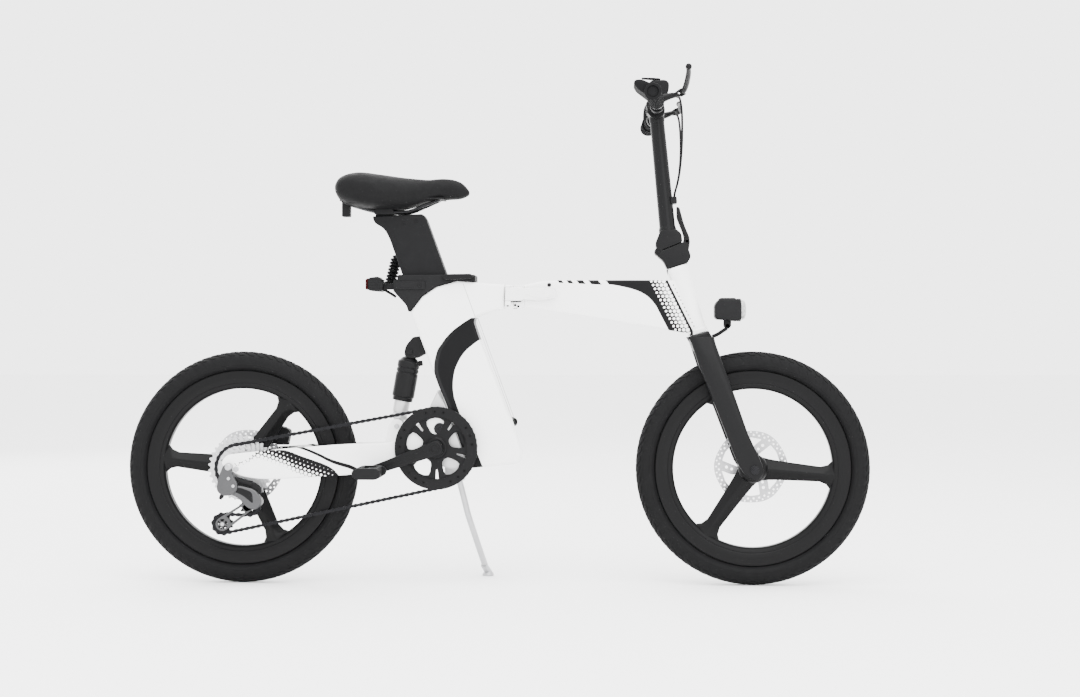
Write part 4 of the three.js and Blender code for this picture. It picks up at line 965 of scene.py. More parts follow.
ARM = [
    (-16, -16, 15), (14, -15, 12), (126, -10.5, 10), (152, -11, 11), (152, 11, 11), (126, 10.5, 10),
    (14, 15, 12), (-16, 16, 15),
]
ARM_GROOVE = [(20, -5, 4), (116, -3.5, 3), (116, 3.5, 3), (20, 5, 4)]
for label, side, degrees in (("right", -1, CRANK_TURN), ("left", 1, CRANK_TURN - 180)):
    low, high = sorted((side * 58, side * 71))
    pedal_at = about(CRANK, CRANK_LENGTH, degrees)
    arm_shape = plate(turned_outline(ARM, CRANK, degrees), low, high, 3.0)
    groove_low, groove_high = sorted((side * 70.6, side * 71.4))
    rim = plate(turned_outline(ARM_GROOVE, CRANK, degrees), groove_low, groove_high, 0.35,
                [turned_outline([(22, -3.6, 3), (114, -2.4, 2), (114, 2.4, 2), (22, 3.6, 3)], CRANK,
                    degrees)])
    boss = spun((CRANK[0], side * 51.7, CRANK[1]), (0, side, 0), [(0, 9), (0, 15), (8, 15), (8, 9)], 40)
    cap = spun(
        (CRANK[0], side * 70.8, CRANK[1]), (0, side, 0),
        [(0, 1), (0, 10.5), (1.6, 10, 0.8), (1.6, 8), (0.6, 7.6), (0.6, 0.4)], 40,
    )
    spindle = spun(
        (pedal_at[0], side * 70, pedal_at[1]), (0, side, 0),
        [(0, 2), (0, 8), (4, 8, 1), (4, 5), (108, 5, 1), (108, 0.5)], 28,
    )
    assemble(
        "crank_" + label, [arm_shape, rim, boss, cap, spindle], black_enamel, "crank",
        "crank_arm_" + label,
    )

    px, pz = pedal_at
    low, high = sorted((side * 84, side * 100))
    ends = []
    for y0 in (84, 174):
        low, high = sorted((side * y0, side * (y0 + 10)))
        ends.append(plate([
            (px - 30, pz - 6, 5), (px - 20, pz - 12, 6), (px + 20, pz - 12, 6), (px + 30, pz - 6, 5),
            (px + 30, pz + 6, 5), (px + 20, pz + 12, 6), (px - 20, pz + 12, 6), (px - 30, pz + 6, 5),
        ], low, high, 1.5))
    low, high = sorted((side * 92, side * 176))
    rails = [
        plate([(px + cx - 4, pz - 11.4, 1), (px + cx + 4, pz - 11.4, 1), (px + cx + 4, pz + 11.4, 1),
            (px + cx - 4, pz + 11.4, 1)],
              low, high, 1.0) for cx in (-18, 18)
    ]
    core = plate(
        [(px - 9, pz - 8, 5), (px + 9, pz - 8, 5), (px + 9, pz + 8, 5), (px - 9, pz + 8, 5)], low, high,
        1.2,
    )
    cross = [
        plate([(px - 22, pz - 6, 2), (px + 22, pz - 6, 2), (px + 22, pz + 6, 2), (px - 22, pz + 6, 2)],
              *sorted((side * y0, side * (y0 + 5))), 0.8) for y0 in (112, 131, 151)
    ]
    ribs = []
    for index in range(9):
        for cx in (-18, 18):
            y0 = side * (96 + 9.2 * index)
            ribs.append(
                spun(
                    (px + cx, y0, pz - 12), (0, 0, 1),
                    [(0, 0.4), (0, 2.0, 0.5), (24, 2.0, 0.5), (24, 0.4)], 8,
                ),
            )
    assemble(
        "pedal_body_" + label, [*ends, *rails, core, *cross, *ribs], black_plastic, "pedal_" + label,
        "pedal_" + label,
    )
    reflector = moulded("reflector_" + label, (0.62, 0.25, 0.03), 0.25, 2.5, 0.25)
    tabs = [plate([(px - 8, pz - 5, 1), (px + 8, pz - 5, 1), (px + 8, pz + 5, 1), (px - 8, pz + 5, 1)],
                  *sorted((side * 183.2, side * 183.95)), 0.2)]
    assemble("pedal_reflector_" + label, tabs, reflector, "pedal_" + label)


# ---- Swingarm ----
# White welded swingarm: a box arm outside each flank of the tyre and a bridge ahead of it.
# Both arms carry black halftone graphics that fade into dots towards the axle.
def halftone(finish, along, across, pitch, size):
    """Round dots on a staggered grid; size is each dot's radius in millimetres."""
    row = pitch * math.sqrt(3)
    masks = []
    for shift in (0.0, 0.5):
        u = finish.sum("WRAP", finish.sum("ADD", along, shift * pitch), -pitch / 2, pitch / 2)
        v = finish.sum("WRAP", finish.sum("ADD", across, shift * row), -row / 2, row / 2)
        reach = finish.sum(
            "SQRT", finish.sum("ADD", finish.sum("MULTIPLY", u, u), finish.sum("MULTIPLY", v, v)),
        )
        masks.append(beyond(finish, size, reach, 0.4))
    return either(finish, *masks)


arm_enamel = enamel("white_enamel_arm", WHITE)
x, y, z = arm_enamel.axes()
band_top = edge_line(arm_enamel, x, [
    (-560, 262), (-530, 272), (-508, 288), (-497, 291.5), (-451.6, 292.4), (-436, 288.5), (-418.3, 281.2),
    (-390, 270.8), (-364.4, 260.8), (-349.1, 252.2), (-338, 241), (-332, 232),
])
under_top = arm_enamel.sum("SUBTRACT", band_top, z)
tilt = math.radians(-20.5)
along = arm_enamel.sum(
    "ADD", arm_enamel.sum("MULTIPLY", x, math.cos(tilt)), arm_enamel.sum("MULTIPLY", z, math.sin(tilt)),
)
across = arm_enamel.sum(
    "SUBTRACT", arm_enamel.sum("MULTIPLY", z, math.cos(tilt)),
    arm_enamel.sum("MULTIPLY", x, math.sin(tilt)),
)
fade_down = arm_enamel.ramp(
    arm_enamel.sum("ADD", under_top, arm_enamel.ramp(x, -430.0, -530.0, 0.0, 34.0)), 9.0, 46.0, 0.5, 5.25,
)
dots = halftone(arm_enamel, along, across, 9.0, fade_down)
in_band = both(
    arm_enamel, beyond(arm_enamel, under_top, 0.0), beyond(arm_enamel, -333.0, x),
    beyond(arm_enamel, x, -556.0),
)
band = both(arm_enamel, in_band, arm_enamel.sum("SUBTRACT", 1.0, dots))
blade_line = edge_line(arm_enamel, x, [
    (-430, 301.5), (-412, 296.5), (-380, 283), (-349.1, 267.5), (-330, 261), (-312.4, 255.5), (-297.3, 248),
    (-284, 238),
])
blade_reach = arm_enamel.ramp(x, -430.0, -300.0, 2.4, 4.6)
blade = both(
    arm_enamel, beyond(
        arm_enamel, blade_reach, arm_enamel.sum("ABSOLUTE", arm_enamel.sum("SUBTRACT", z, blade_line)),
    ),
    beyond(arm_enamel, x, -427.0), beyond(arm_enamel, -284.0, x),
)
arm_enamel.printed(either(arm_enamel, band, blade), WHITE, INK)


def arm_at(x):
    """Inner and outer distance of the left arm from the middle of the bicycle at a station."""
    outer = [(-90, 41), (-240, 42), (-270, 45), (-400, 71), (-440, 77.5), (-600, 80)]
    inner = [(-90, 33.4), (-280, 33.6), (-300, 36), (-430, 62.5), (-450, 66), (-480, 67.5), (-600, 67.5)]
    result = []
    for line in (inner, outer):
        for (x0, y0), (x1, y1) in zip(line, line[1:]):
            if x1 <= x <= x0:
                result.append(y0 + (y1 - y0) * (x - x0) / (x1 - x0))
                break
    return result


ARM_SIDE = [
    (-587, 262, 12), (-574, 282, 14), (-457, 295, 40), (-323, 304, 30), (-224, 306, 20), (-150, 358, 26),
    (-108, 364, 20), (-93, 340, 26), (-108, 312, 20), (-140, 314, 12), (-172, 290, 18), (-212, 256, 30),
    (-299, 238.5, 30), (-386, 234, 20), (-492, 229, 24), (-546, 236, 20),
]
arms = []
for side in (-1, 1):
    blank = plate(ARM_SIDE, 0, 10, 3.0, steps=8)
    cuts = [-600 + 12 * index for index in range(1, 43)]
    for spot in cuts:
        bmesh.ops.bisect_plane(
            blank, geom=[
                *blank.verts, *blank.edges, *blank.faces,
            ], plane_co=(spot, 0, 0), plane_no=(1, 0, 0), dist=0.01,
        )
    for vertex in blank.verts:
        inner, outer = arm_at(max(-599.0, min(-90.5, vertex.co.x)))
        vertex.co.y = side * (inner + (outer - inner) * vertex.co.y / 10.0)
    bmesh.ops.recalc_face_normals(blank, faces=blank.faces)
    arms.append(blank)
bridge = plate([(-276, 248, 10), (-186, 262, 10), (-180, 296, 10), (-264, 300, 10)], -37.8, 37.8, 2.0)
ears = [
    plate(
        [(-246, 282), (-190, 282), (-200, 345, 12), (-208, 356, 8), (-222, 356, 8), (-232, 345, 10)],
        *sorted((side * 12.7, side * 20)), 1.0,
    )
    for side in (-1, 1)
]
assemble("swingarm_weldment", [*arms, bridge, *ears], arm_enamel, "swingarm", "swingarm", crease=32)
pins = [
    spun(
        (-215, -23, 341), (0, 1, 0),
        [(0, 0.5), (0, 5.5, 1), (3, 5.5), (3, 4), (43, 4), (43, 5.5), (46, 5.5, 1), (46, 0.5)], 28,
    ),
    spun(
        (-552, 80.2, 251.5), (0, 1, 0),
        [(0, 2), (0, 11, 1), (6, 11, 1), (6, 6, 0.6), (8.6, 6, 0.6), (8.6, 0.4)], 6,
    ),
    spun((-552, -82, 251.5), (0, 1, 0), [(0, 0.5), (0, 5.4, 1), (164, 5.4), (164, 1)], 28),
]
assemble("rear_axle_and_pins", pins, bright_steel, "swingarm", "rear_axle")
caliper_black = moulded("caliper_black", (0.006, 0.006, 0.0063), 0.42, 1.2, 0.03)
CALIPER = [(-498, 300, 6), (-462, 300, 6), (-456, 330, 8), (-488, 342, 8), (-510, 328, 8)]
caliper_parts = [
    plate(CALIPER, 33.2, 42.2, 1.6), plate(CALIPER, 47.8, 57.8, 1.6),
    plate([(-476, 302, 3), (-462, 302, 3), (-458, 328, 4), (-470, 338, 4)], 40, 50, 0.8),
    plate([(-492, 296, 3), (-464, 296, 3), (-464, 307, 3), (-492, 307, 3)], 56, 69, 1.2),
    spun((-480, 57.4, 322), (0, 1, 0), [(0, 1), (0, 8, 1), (3, 8, 1), (3, 5), (5, 5, 1), (5, 0.4)], 24),
]
assemble("rear_brake_caliper", caliper_parts, caliper_black, "swingarm", "rear_caliper")
bolt_head = [(0, 6), (0, 12.6, 0.8), (2.2, 12.6, 1), (2.2, 5.5), (1.0, 5.2), (1.0, 0.4)]
assemble("swingarm_pivot", [
    spun((-119.5, side * 41.7, 337), (0, side, 0), bolt_head, 36) for side in (-1, 1)
] + [spun((-119.5, -41.8, 337), (0, 1, 0), [(0, 1), (0, 5.8), (83.6, 5.8), (83.6, 1)], 24)], dark_steel,
"rear_frame", "swingarm_pivot_bolt")


# ---- Rear shock ----
# Short coil-less shock: black body with a preload collar and an upper eye, silver lower cup that
# slides into it, and pins through both eyes.
top = Vector((-186.5, 0, 502))
bottom = Vector((-215, 0, 341))
down = (bottom - top).normalized()
body_line = [
    (10, 8), (14, 16, 2), (19, 20, 2), (22, 24, 2), (34, 24, 1), (35, 22.6, 0.5), (37, 22.6, 0.5),
    (38, 24, 1), (44, 24, 1),
    (45, 22.6, 0.5), (47, 22.6, 0.5), (48, 24, 1), (98, 24, 2), (100, 22, 1), (108, 21.6, 1), (108, 17.6),
    (60, 17.6), (60, 8),
]
shapes = [
    spun(tuple(top), tuple(down), body_line, 56),
    spun(
        (top.x, -11.4, top.z), (0, 1, 0), [(0, 4.5), (0, 11.4, 1), (22.8, 11.4, 1), (22.8, 4.5)], 40,
        hollow=True,
    ),
    spun(tuple(top + down * 4), tuple(down), [(0, 1), (0, 9), (12, 9), (12, 1)], 28),
]
knob_at = top + down * 30 + Vector((24, 0, 4))
shapes.append(spun(tuple(knob_at), (0.98, 0, 0.17), [(-4, 1), (-4, 6), (4, 6, 1), (7, 5, 1), (7, 0.4)], 24))
assemble("shock_outer", shapes, black_enamel, "shock_body", "shock_body")
cup = [
    (78, 1), (78, 17), (132, 17, 1), (134, 15.6, 0.5), (137, 15.6, 0.5), (139, 17, 1), (146, 17, 3),
    (150, 11, 2), (156, 11), (156, 1),
]
shapes = [
    spun(tuple(top), tuple(down), cup, 56),
    spun(
        (bottom.x, -11.9, bottom.z), (0, 1, 0), [(0, 4.5), (0, 11, 1), (23.8, 11, 1), (23.8, 4.5)], 40,
        hollow=True,
    ),
]
assemble("shock_inner", shapes, pale_alloy, "shock_shaft", "shock_shaft")
bracket = [
    plate(
        [(-165.4, 536), (-151.4, 499), (-174, 487, 8), (-200, 490, 12), (-197, 514, 10), (-180, 534, 4)],
        *sorted((side * 12.6, side * 19)), 1.0,
    )
    for side in (-1, 1)
]
bracket.append(plate([(-165.4, 536), (-151.4, 499), (-168, 493, 3), (-171, 528, 3)], -12.8, 12.8, 0.5))
bracket.append(
    spun(
        (-186.5, -22, 502), (0, 1, 0),
        [(0, 0.5), (0, 6, 1), (3.5, 6), (3.5, 4), (40.5, 4), (40.5, 6), (44, 6, 1), (44, 0.5)], 28,
    ),
)
assemble("shock_mount", bracket, black_enamel, "rear_frame", "shock_bracket")


# ---- Pivot and bottom bracket casting, kickstand ----
# Pale cast alloy bracket behind the casing that holds the swingarm pivot, the bottom bracket and
# the kickstand; the stand is a bent bright tube with a turned foot.
CHEEK = [
    (-124.8, 421, 4), (-107.4, 383), (-57.6, 252.5, 4), (-66, 247.5, 4), (-98, 248.5, 16), (-154, 268, 22),
    (-166, 310, 22), (-158, 352, 22),
]
ring_line = [(0, 17.4), (0, 22, 1), (2, 23, 1), (64, 23, 1), (66, 22, 1), (66, 17.4)]
shapes = [
    plate(CHEEK, -27, 27, 3.0),
    spun((CRANK[0], -33, CRANK[1]), (0, 1, 0), ring_line, 56),
    spun(
        (-119.5, -32.5, 337), (0, 1, 0), [(0, 6.8), (0, 17, 1.5), (65, 17, 1.5), (65, 6.8)], 48,
        hollow=True,
    ),
    plate([(-114, 222, 3), (-70, 222, 3), (-70, 252, 3), (-114, 252, 3)], 4, 27, 2.0),
]
assemble("pivot_casting", shapes, pale_alloy, "rear_frame", "pivot_bracket")
cups = [
    spun(
        (CRANK[0], side * 32.6, CRANK[1]), (0, side, 0),
        [(0, 8.4), (0, 20, 0.5), (2.2, 20, 0.8), (2.2, 12), (3.4, 12), (3.4, 8.4)], 12, hollow=False,
    )
    for side in (-1, 1)
]
assemble("bottom_bracket_cups", cups, dark_steel, "rear_frame")
STAND = Vector((-90, 44, 236))
stand_axis = Vector((-0.055, 0.941, 0.3345)).normalized()


def join_rings(shape, rings):
    """Faces between rings of vertices that follow one another, with both ends closed."""
    for lower, upper in zip(rings, rings[1:]):
        for corner in range(len(lower)):
            shape.faces.new((lower[corner - 1], lower[corner], upper[corner], upper[corner - 1]))
    shape.faces.new(rings[0])
    shape.faces.new(rings[-1])
    bmesh.ops.recalc_face_normals(shape, faces=shape.faces)


def bent_bar(points, radius, sides=20, steps=8):
    """Round bar along a smooth line through points, with closed ends."""
    path = smooth_path(points, steps)
    shape = bmesh.new()
    rings = []
    normal = None
    for index, spot in enumerate(path):
        before, after = path[max(index - 1, 0)], path[min(index + 1, len(path) - 1)]
        forward = (after - before).normalized()
        if normal is None:
            normal = forward.orthogonal().normalized()
        normal = (normal - forward * normal.dot(forward)).normalized()
        binormal = forward.cross(normal)
        thick = radius(index / (len(path) - 1)) if callable(radius) else radius
        ring = [
            shape.verts.new(spot + (normal * math.cos(a) + binormal * math.sin(a)) * thick)
            for a in (2 * math.pi * side / sides for side in range(sides))
        ]
        rings.append(ring)
    join_rings(shape, rings)
    return shape


def eased(a, b, c, d, t):
    """Catmull-Rom value between b and c, where t goes from 0 to 1."""
    curve = (2 * a - 5 * b + 4 * c - d) * t * t + (3 * b - a - 3 * c + d) * t ** 3
    return 0.5 * (2 * b + (c - a) * t + curve)


def smooth_path(points, steps=8):
    """Catmull-Rom line through points."""
    spots = [Vector(point) for point in points]
    spots = [spots[0] * 2 - spots[1], *spots, spots[-1] * 2 - spots[-2]]
    path = []
    for index in range(1, len(spots) - 2):
        a, b, c, d = spots[index - 1:index + 3]
        for step in range(steps):
            t = step / steps
            path.append(eased(a, b, c, d, t))
    path.append(spots[-2])
    return path


shapes = [
    spun(
        tuple(STAND - stand_axis * 6.8), tuple(stand_axis),
        [(0, 4.5), (0, 9, 1), (13.6, 9, 1), (13.6, 4.5)], 36, hollow=True,
    ),
    bent_bar(
        [
            (-88, 46, 229), (-80, 47, 200), (-68, 47.4, 152), (-63, 50, 134), (-56, 64, 108),
            (-44, 93, 62), (-31.5, 122, 16),
        ],
        6.8,
    ),
    spun(
        (-28, 130, 0.0), (0, 0, 1),
        [(0, 0.5), (0, 13, 1.5), (5, 12.6, 2), (11, 8, 2), (14, 6), (14, 0.5)], 36,
    ),
    spun((-33, 118.5, 20), (0.29, 0.67, -0.62), [(-10, 1), (-10, 7.6, 1), (18, 8, 1), (18, 1)], 28),
]
assemble("kickstand_leg", shapes, bright_steel, "kickstand", "kickstand")


# ---- Seat tube cover and tail light ----
# Black moulded collar round the seat post above the casing, with a raised panel on the right,
# and a tail light on a short cranked bracket behind it.
COVER = [
    (-221, 633, 3), (-193, 602, 4), (-188.5, 588.6, 2), (-185.2, 588.6), (-159.5, 621.8), (-128.5, 642.9, 20),
    (-83.2, 655.4, 10), (-44, 652.6, 3), (-44, 667.8, 4), (-212, 668, 5), (-212, 657, 3), (-221, 656.5, 3),
]
PANEL = [(-219, 636, 3), (-152, 636, 3), (-152, 654, 3), (-219, 654, 3)]
shapes = [
    plate(COVER, -34, 34, 2.0), plate(PANEL, -36.4, -33, 1.0), plate(PANEL, 33, 34.6, 0.8),
    plate([(-206, 640, 2), (-176, 640, 2), (-176, 650, 2), (-206, 650, 2)], -36.9, -36, 0.3),
    spun(
        (-164, -36.2, 645), (0, -1, 0),
        [(0, 0.4), (0, 4.2), (1.6, 4.2, 0.6), (1.6, 1.8), (0.8, 1.7), (0.8, 0.3)], 24,
    ),
]
assemble("seat_collar", shapes, black_plastic, "rear_frame", "seat_tube_cover")
shapes = [
    plate([(-277, 634.5, 5), (-247, 632, 5), (-243.5, 650, 5), (-254, 665, 5), (-277, 662, 6)], -24, 24, 2.5),
    bent_bar([(-252, 0, 640), (-240, 0, 634), (-228, 0, 627), (-219, 0, 621)], 3, 16),
    plate([(-252, 637, 2), (-221.6, 637, 2), (-221.6, 650, 2), (-252, 650, 2)], -8, 8, 1.0),
]
for level in range(4):
    z0 = 639 + 6 * level
    shapes.append(
        plate(
            [(-275, z0), (-250 + 1.2 * level, z0), (-250 + 1.2 * level, z0 + 1.6), (-275, z0 + 1.6)],
            -24.6, 24.6, 0.4,
        ),
    )
assemble("tail_light_housing", shapes, black_plastic, "rear_frame", "tail_light_body")
red_lens = Finish("red_lens", (0.012, 0.0008, 0.0008), 0.16)
facets = red_lens.node(
    "ShaderNodeTexVoronoi", {"Vector": red_lens.place(), "Scale": 0.32},
).outputs["Distance"]
red_lens.bump(facets, 0.35)
# The colour is lighter at each facet's middle and darker at its edges: painted light and shade on the facets,
# on top of their bump.
red_lens.colour_from(
    red_lens.blend(red_lens.ramp(facets, 0.1, 0.6), (0.03, 0.0012, 0.001), (0.012, 0.0006, 0.0006)),
)
assemble("tail_light_cover",
    [plate([(-283, 637, 4), (-277.2, 636), (-277.2, 661), (-283, 659, 4)], -22, 22, 1.5)], red_lens,
         "rear_frame", "tail_light_lens")


# ---- Seat post, clamp lever and battery lead ----
# Broad flat black post that slides in the casing; its back edge is soft. A lever clamps it, and a
# coiled lead runs from the post down to the collar on the left.
def post_rear(z):
    return -206 + (671.5 - z) * math.tan(math.radians(20))


def post_front(z):
    return -108 + (671 - z) * math.tan(math.radians(20))


post_black = moulded("post_black", (0.005, 0.005, 0.0053), 0.5, 0.8, 0.03)
POST = [
    (-268, 795, 4), (-264, 781, 14), (-242, 768, 14), (-231, 748, 20), (post_rear(480), 480, 4),
    (post_front(480), 480, 4),
    (post_front(789), 789, 8), (-158, 799.8, 6),
]
shapes = [
    plate(POST, -22, 22, 3.0, steps=8),
    plate([(-262, 792, 3), (-222, 792, 3), (-222, 811, 4), (-262, 811, 4)], -15, 15, 1.5),
    plate([(-227, 723, 2), (-216, 723, 2), (-216, 734, 2), (-227, 734, 2)], 20, 46, 1.0),
]
for side in (-1, 1):
    for sx, sz in ((-199, 779), (-173, 784)):
        shapes.append(
            spun(
                (sx, side * 21.8, sz), (0, side, 0),
                [(0, 0.4), (0, 3.6), (1.2, 3.6, 0.6), (1.2, 1.6), (0.5, 1.5), (0.5, 0.3)], 20,
            ),
        )
    shapes.append(plate([
        (post_rear(740) + 9, 740), (post_rear(740) + 10, 740), (post_rear(676) + 10, 676),
        (post_rear(676) + 9, 676),
    ], *sorted((side * 21.9, side * 22.25)), 0.1))
assemble("seat_post_blade", shapes, post_black, "seat_post", "seat_post")
lever = plate(
    [
        (-114, 657.5, 5), (-96, 656.5, 6), (-52, 658.5, 5), (-46, 663, 4), (-52, 669.5, 5), (-96, 669, 6),
        (-114, 668, 5),
    ],
    -44, -36.2, 1.8,
)
pivot = spun((-108, -44.6, 662.5), (0, 1, 0), [(0, 0.4), (0, 4, 0.6), (1, 4), (8, 4), (8, 0.4)], 24)
assemble("seat_lever", [lever, pivot], black_enamel, "seat_clamp", "seat_clamp_lever")


def cord_curve(name, points, radius, finish, steps=8, joined=True):
    """A flexible lead as one open spline with a round section, placed in metres."""
    path = smooth_path(points, steps) if joined else [Vector(point) for point in points]
    line = bpy.data.curves.new(name, "CURVE")
    line.dimensions = "3D"
    line.bevel_depth = radius * 0.001
    line.bevel_resolution = 3
    line.use_fill_caps = True
    spline = line.splines.new("POLY")
    spline.points.add(len(path) - 1)
    for point, spot in zip(spline.points, path):
        point.co = (*(spot * 0.001), 1)
    spline.use_smooth = True
    line.materials.append(finish.material)
    piece = bpy.data.objects.new(name, line)
    bpy.context.collection.objects.link(piece)
    reach = sum((b - a).length for a, b in zip(path, path[1:])) * 0.001
    return piece, reach, [tuple(spot * 0.001) for spot in path]


lead_rubber = moulded("lead_rubber", (0.0042, 0.0042, 0.0045), 0.55, 1.5, 0.03)
LEAD_TOP = Vector((-220.5, 38, 716))
LEAD_LOW = Vector((-239.5, 38, 640))
coil_axis = (LEAD_LOW - LEAD_TOP).normalized()
side_way = coil_axis.cross(Vector((0, 1, 0))).normalized()
up_way = side_way.cross(coil_axis).normalized()
TURNS = 9.5
coil = [Vector((-221, 38, 725)), Vector((-221.5, 38, 721))]
for step in range(int(TURNS * 24) + 1):
    share = step / (TURNS * 24)
    angle = 2 * math.pi * TURNS * share
    grow = min(1.0, share * 10, (1 - share) * 10)
    radius = 9.6 * (0.25 + 0.75 * grow)
    middle = LEAD_TOP.lerp(LEAD_LOW, 0.04 + 0.9 * share)
    coil.append(middle + side_way * radius * math.cos(angle) + up_way * radius * math.sin(angle))
coil.append(LEAD_LOW + coil_axis * 1.0)
lead, lead_length, lead_path = cord_curve("coiled_lead", coil, 3.0, lead_rubber, 2)
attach(lead, "rear_frame")
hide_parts("battery_lead")


# ---- Saddle ----
# Padded touring saddle: foam under a black grained cover that swells between its seams, a
# moulded base and bright steel rails in the post's clamp.
cover_black = moulded("saddle_cover", (0.0042, 0.0042, 0.0044), 0.56, 1.8, 0.11)


def share_line(points, t):
    """Point at share t of a smooth line through points spaced evenly, as the plan lines are."""
    place = max(0.0, min(1.0, t)) * (len(points) - 1)
    index = min(int(place), len(points) - 2)
    u = place - index
    a, b, c, d = (Vector(points[max(0, min(len(points) - 1, index + k))]) for k in (-1, 0, 1, 2))
    return eased(a, b, c, d, u)


TOP_LINE = [
    (-351, 858), (-338, 882), (-300, 892.5), (-250, 886), (-200, 878.5), (-150, 875.5), (-110, 878.5),
    (-75, 870), (-55, 848),
]
LOW_LINE = [
    (-351, 852), (-334, 826), (-290, 811), (-245, 806.5), (-205, 808.5), (-158, 823), (-110, 829),
    (-75, 832), (-55, 842),
]
HALF_WIDTH = [
    (-351, 40), (-335, 66), (-300, 80), (-260, 79), (-215, 58), (-170, 36), (-120, 25), (-75, 21),
    (-55, 12),
]


def saddle_form(shrink, lowest=0.0):
    """Closed form of the saddle's cover, in metres."""
    ball = bmesh.new()
    bmesh.ops.create_uvsphere(
        ball, u_segments=64, v_segments=48, radius=1.0, matrix=Matrix.Rotation(math.pi / 2, 4, "Y"),
    )
    for vertex in ball.verts:
        u, across, lift = vertex.co
        t = 0.5 + 0.5 * math.copysign(abs(u) ** 1.6, u)
        upper, lower, width = share_line(TOP_LINE, t), share_line(LOW_LINE, t), share_line(HALF_WIDTH, t)
        reach = max(math.hypot(across, lift), 1e-6)
        full = 0.0 if reach < 1e-3 else 1.0
        sy = math.copysign(abs(across / reach) ** 0.75, across) * full
        sz = math.copysign(abs(lift / reach) ** 0.75, lift) * full
        middle = (upper.y + lower.y) / 2
        half = (upper.y - lower.y) / 2
        spread = max(0.35, math.sqrt(max(0.0, 1 - u * u))) if abs(u) > 0.985 else 1.0
        vertex.co = (
            (upper.x + 203) * (1 - shrink * 0.3) - 203,
            width.y * sy * spread * (1 - shrink),
            middle + sz * half * (1 - shrink) + lowest * min(0.0, sz),
        )
        vertex.co *= 0.001
    bmesh.ops.remove_doubles(ball, verts=ball.verts, dist=0.0003)
    bmesh.ops.recalc_face_normals(ball, faces=ball.faces)
    mesh = bpy.data.meshes.new("saddle_pad")
    ball.to_mesh(mesh)
    ball.free()
    return mesh


pad_mesh = saddle_form(0.05)
pad_mesh.materials.append(cover_black.material)
pad = bpy.data.objects.new("saddle_pad", pad_mesh)
bpy.context.collection.objects.link(pad)
skin = pad.modifiers.new("skin", "REMESH")
skin.mode = "VOXEL"
skin.voxel_size = 0.005
graph = bpy.context.evaluated_depsgraph_get()
even_mesh = bpy.data.meshes.new_from_object(pad.evaluated_get(graph))
pad.modifiers.remove(skin)
pad.data = even_mesh
start = [vertex.co.copy() for vertex in pad.data.vertices]
base = pad.vertex_groups.new(name="base")
base.add([vertex.index for vertex in pad.data.vertices if vertex.normal.z < -0.35], 1.0, "REPLACE")
cloth = pad.modifiers.new("foam", "CLOTH")
cloth.settings.use_pressure = True
cloth.settings.uniform_pressure_force = 4.0
cloth.settings.effector_weights.gravity = 0.0
cloth.settings.vertex_group_mass = "base"
cloth.point_cache.frame_start = 1
cloth.point_cache.frame_end = 20
for count in range(1, 21):
    bpy.context.scene.frame_set(count)
swollen = bpy.data.meshes.new_from_object(pad.evaluated_get(bpy.context.evaluated_depsgraph_get()))
pad.modifiers.remove(cloth)
bpy.context.scene.frame_set(1)
for vertex, spot in zip(swollen.vertices, start):
    move = vertex.co - spot
    if move.length > 0.003:
        vertex.co = spot + move.normalized() * 0.003
pad.data = swollen


# Seams: a channel down the middle of the nose and a welt round the side of the cover.
for vertex in pad.data.vertices:
    px, py, pz = (value * 1000 for value in vertex.co)
    t = max(0.0, min(1.0, (px + 345) / 290))
    upper, lower = share_line(TOP_LINE, t).y, share_line(LOW_LINE, t).y
    welt = lower + (upper - lower) * 0.36
    sink = 1.1 * math.exp(-((pz - welt) / 2.4) ** 2) if abs(py) > 6 or px < -340 else 0.0
    if pz > welt:
        channel = 3.0 * math.exp(-(py / 9.0) ** 2) * max(
            0.0, min(1.0, (px + 335) / 40),
        ) * max(0.0, min(1.0, (-95 - px) / 60))
        vertex.co.z -= 0.001 * channel
    vertex.co -= vertex.normal * 0.001 * sink
pad.data.materials.clear()
pad.data.materials.append(cover_black.material)
pad.data.shade_smooth()
smoother = pad.modifiers.new("smooth", "SUBSURF")
smoother.levels = smoother.render_levels = 1
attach(pad, "seat_post")
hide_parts("saddle")
rails = []
for side in (-1, 1):
    rails.append(bent_bar([
        (-330, side * 27, 826), (-306, side * 26, 818), (-268, side * 21, 808), (-230, side * 21, 804.5),
        (-190, side * 21, 805), (-158, side * 19, 817), (-124, side * 12, 831),
    ], 3.4, 16))
rails.append(bent_bar([(-124, -14, 831), (-124, 0, 831.5), (-124, 14, 831)], 3.4, 16))
rails.append(bent_bar([(-330, -29, 826), (-330, 0, 826.5), (-330, 29, 826)], 3.4, 16))
assemble("saddle_rail_bars", rails, dark_steel, "seat_post", "saddle_rails")
clamp = [
    plate([(-336, 795, 3), (-318, 795, 3), (-318, 828, 3), (-336, 828, 3)], -11, 11, 1.5),
    plate([(-264, 799, 4), (-220, 799, 4), (-222, 811, 4), (-262, 811, 4)], -27, 27, 1.5),
    plate(
        [(-338, 834.2), (-338, 828), (-320, 828), (-300, 831.6), (-130, 831.6), (-112, 830), (-112, 834.2)],
        -29, 29, 0.8,
    ),
]
assemble("saddle_base_and_clamp", clamp, black_plastic, "seat_post")


# ---- Frame hinge and latch ----
# Two machined plates welded to the frame halves, with knuckles and a pin on the left and a
# teardrop lever on the right that pulls them shut.
def slab(x0, x1, y0, y1, z0, z1, edge=1.0, corner=2.0):
    """Rectangular block with rounded edges."""
    return plate([(x0, z0, corner), (x1, z0, corner), (x1, z1, corner), (x0, z1, corner)], y0, y1, edge)


def knuckle_ring(z0, z1):
    return spun(
        (38.3, 41, z0), (0, 0, 1), [(0, 4.2), (0, 9, 0.8), (z1 - z0, 9, 0.8), (z1 - z0, 4.2)], 36,
        hollow=True,
    )


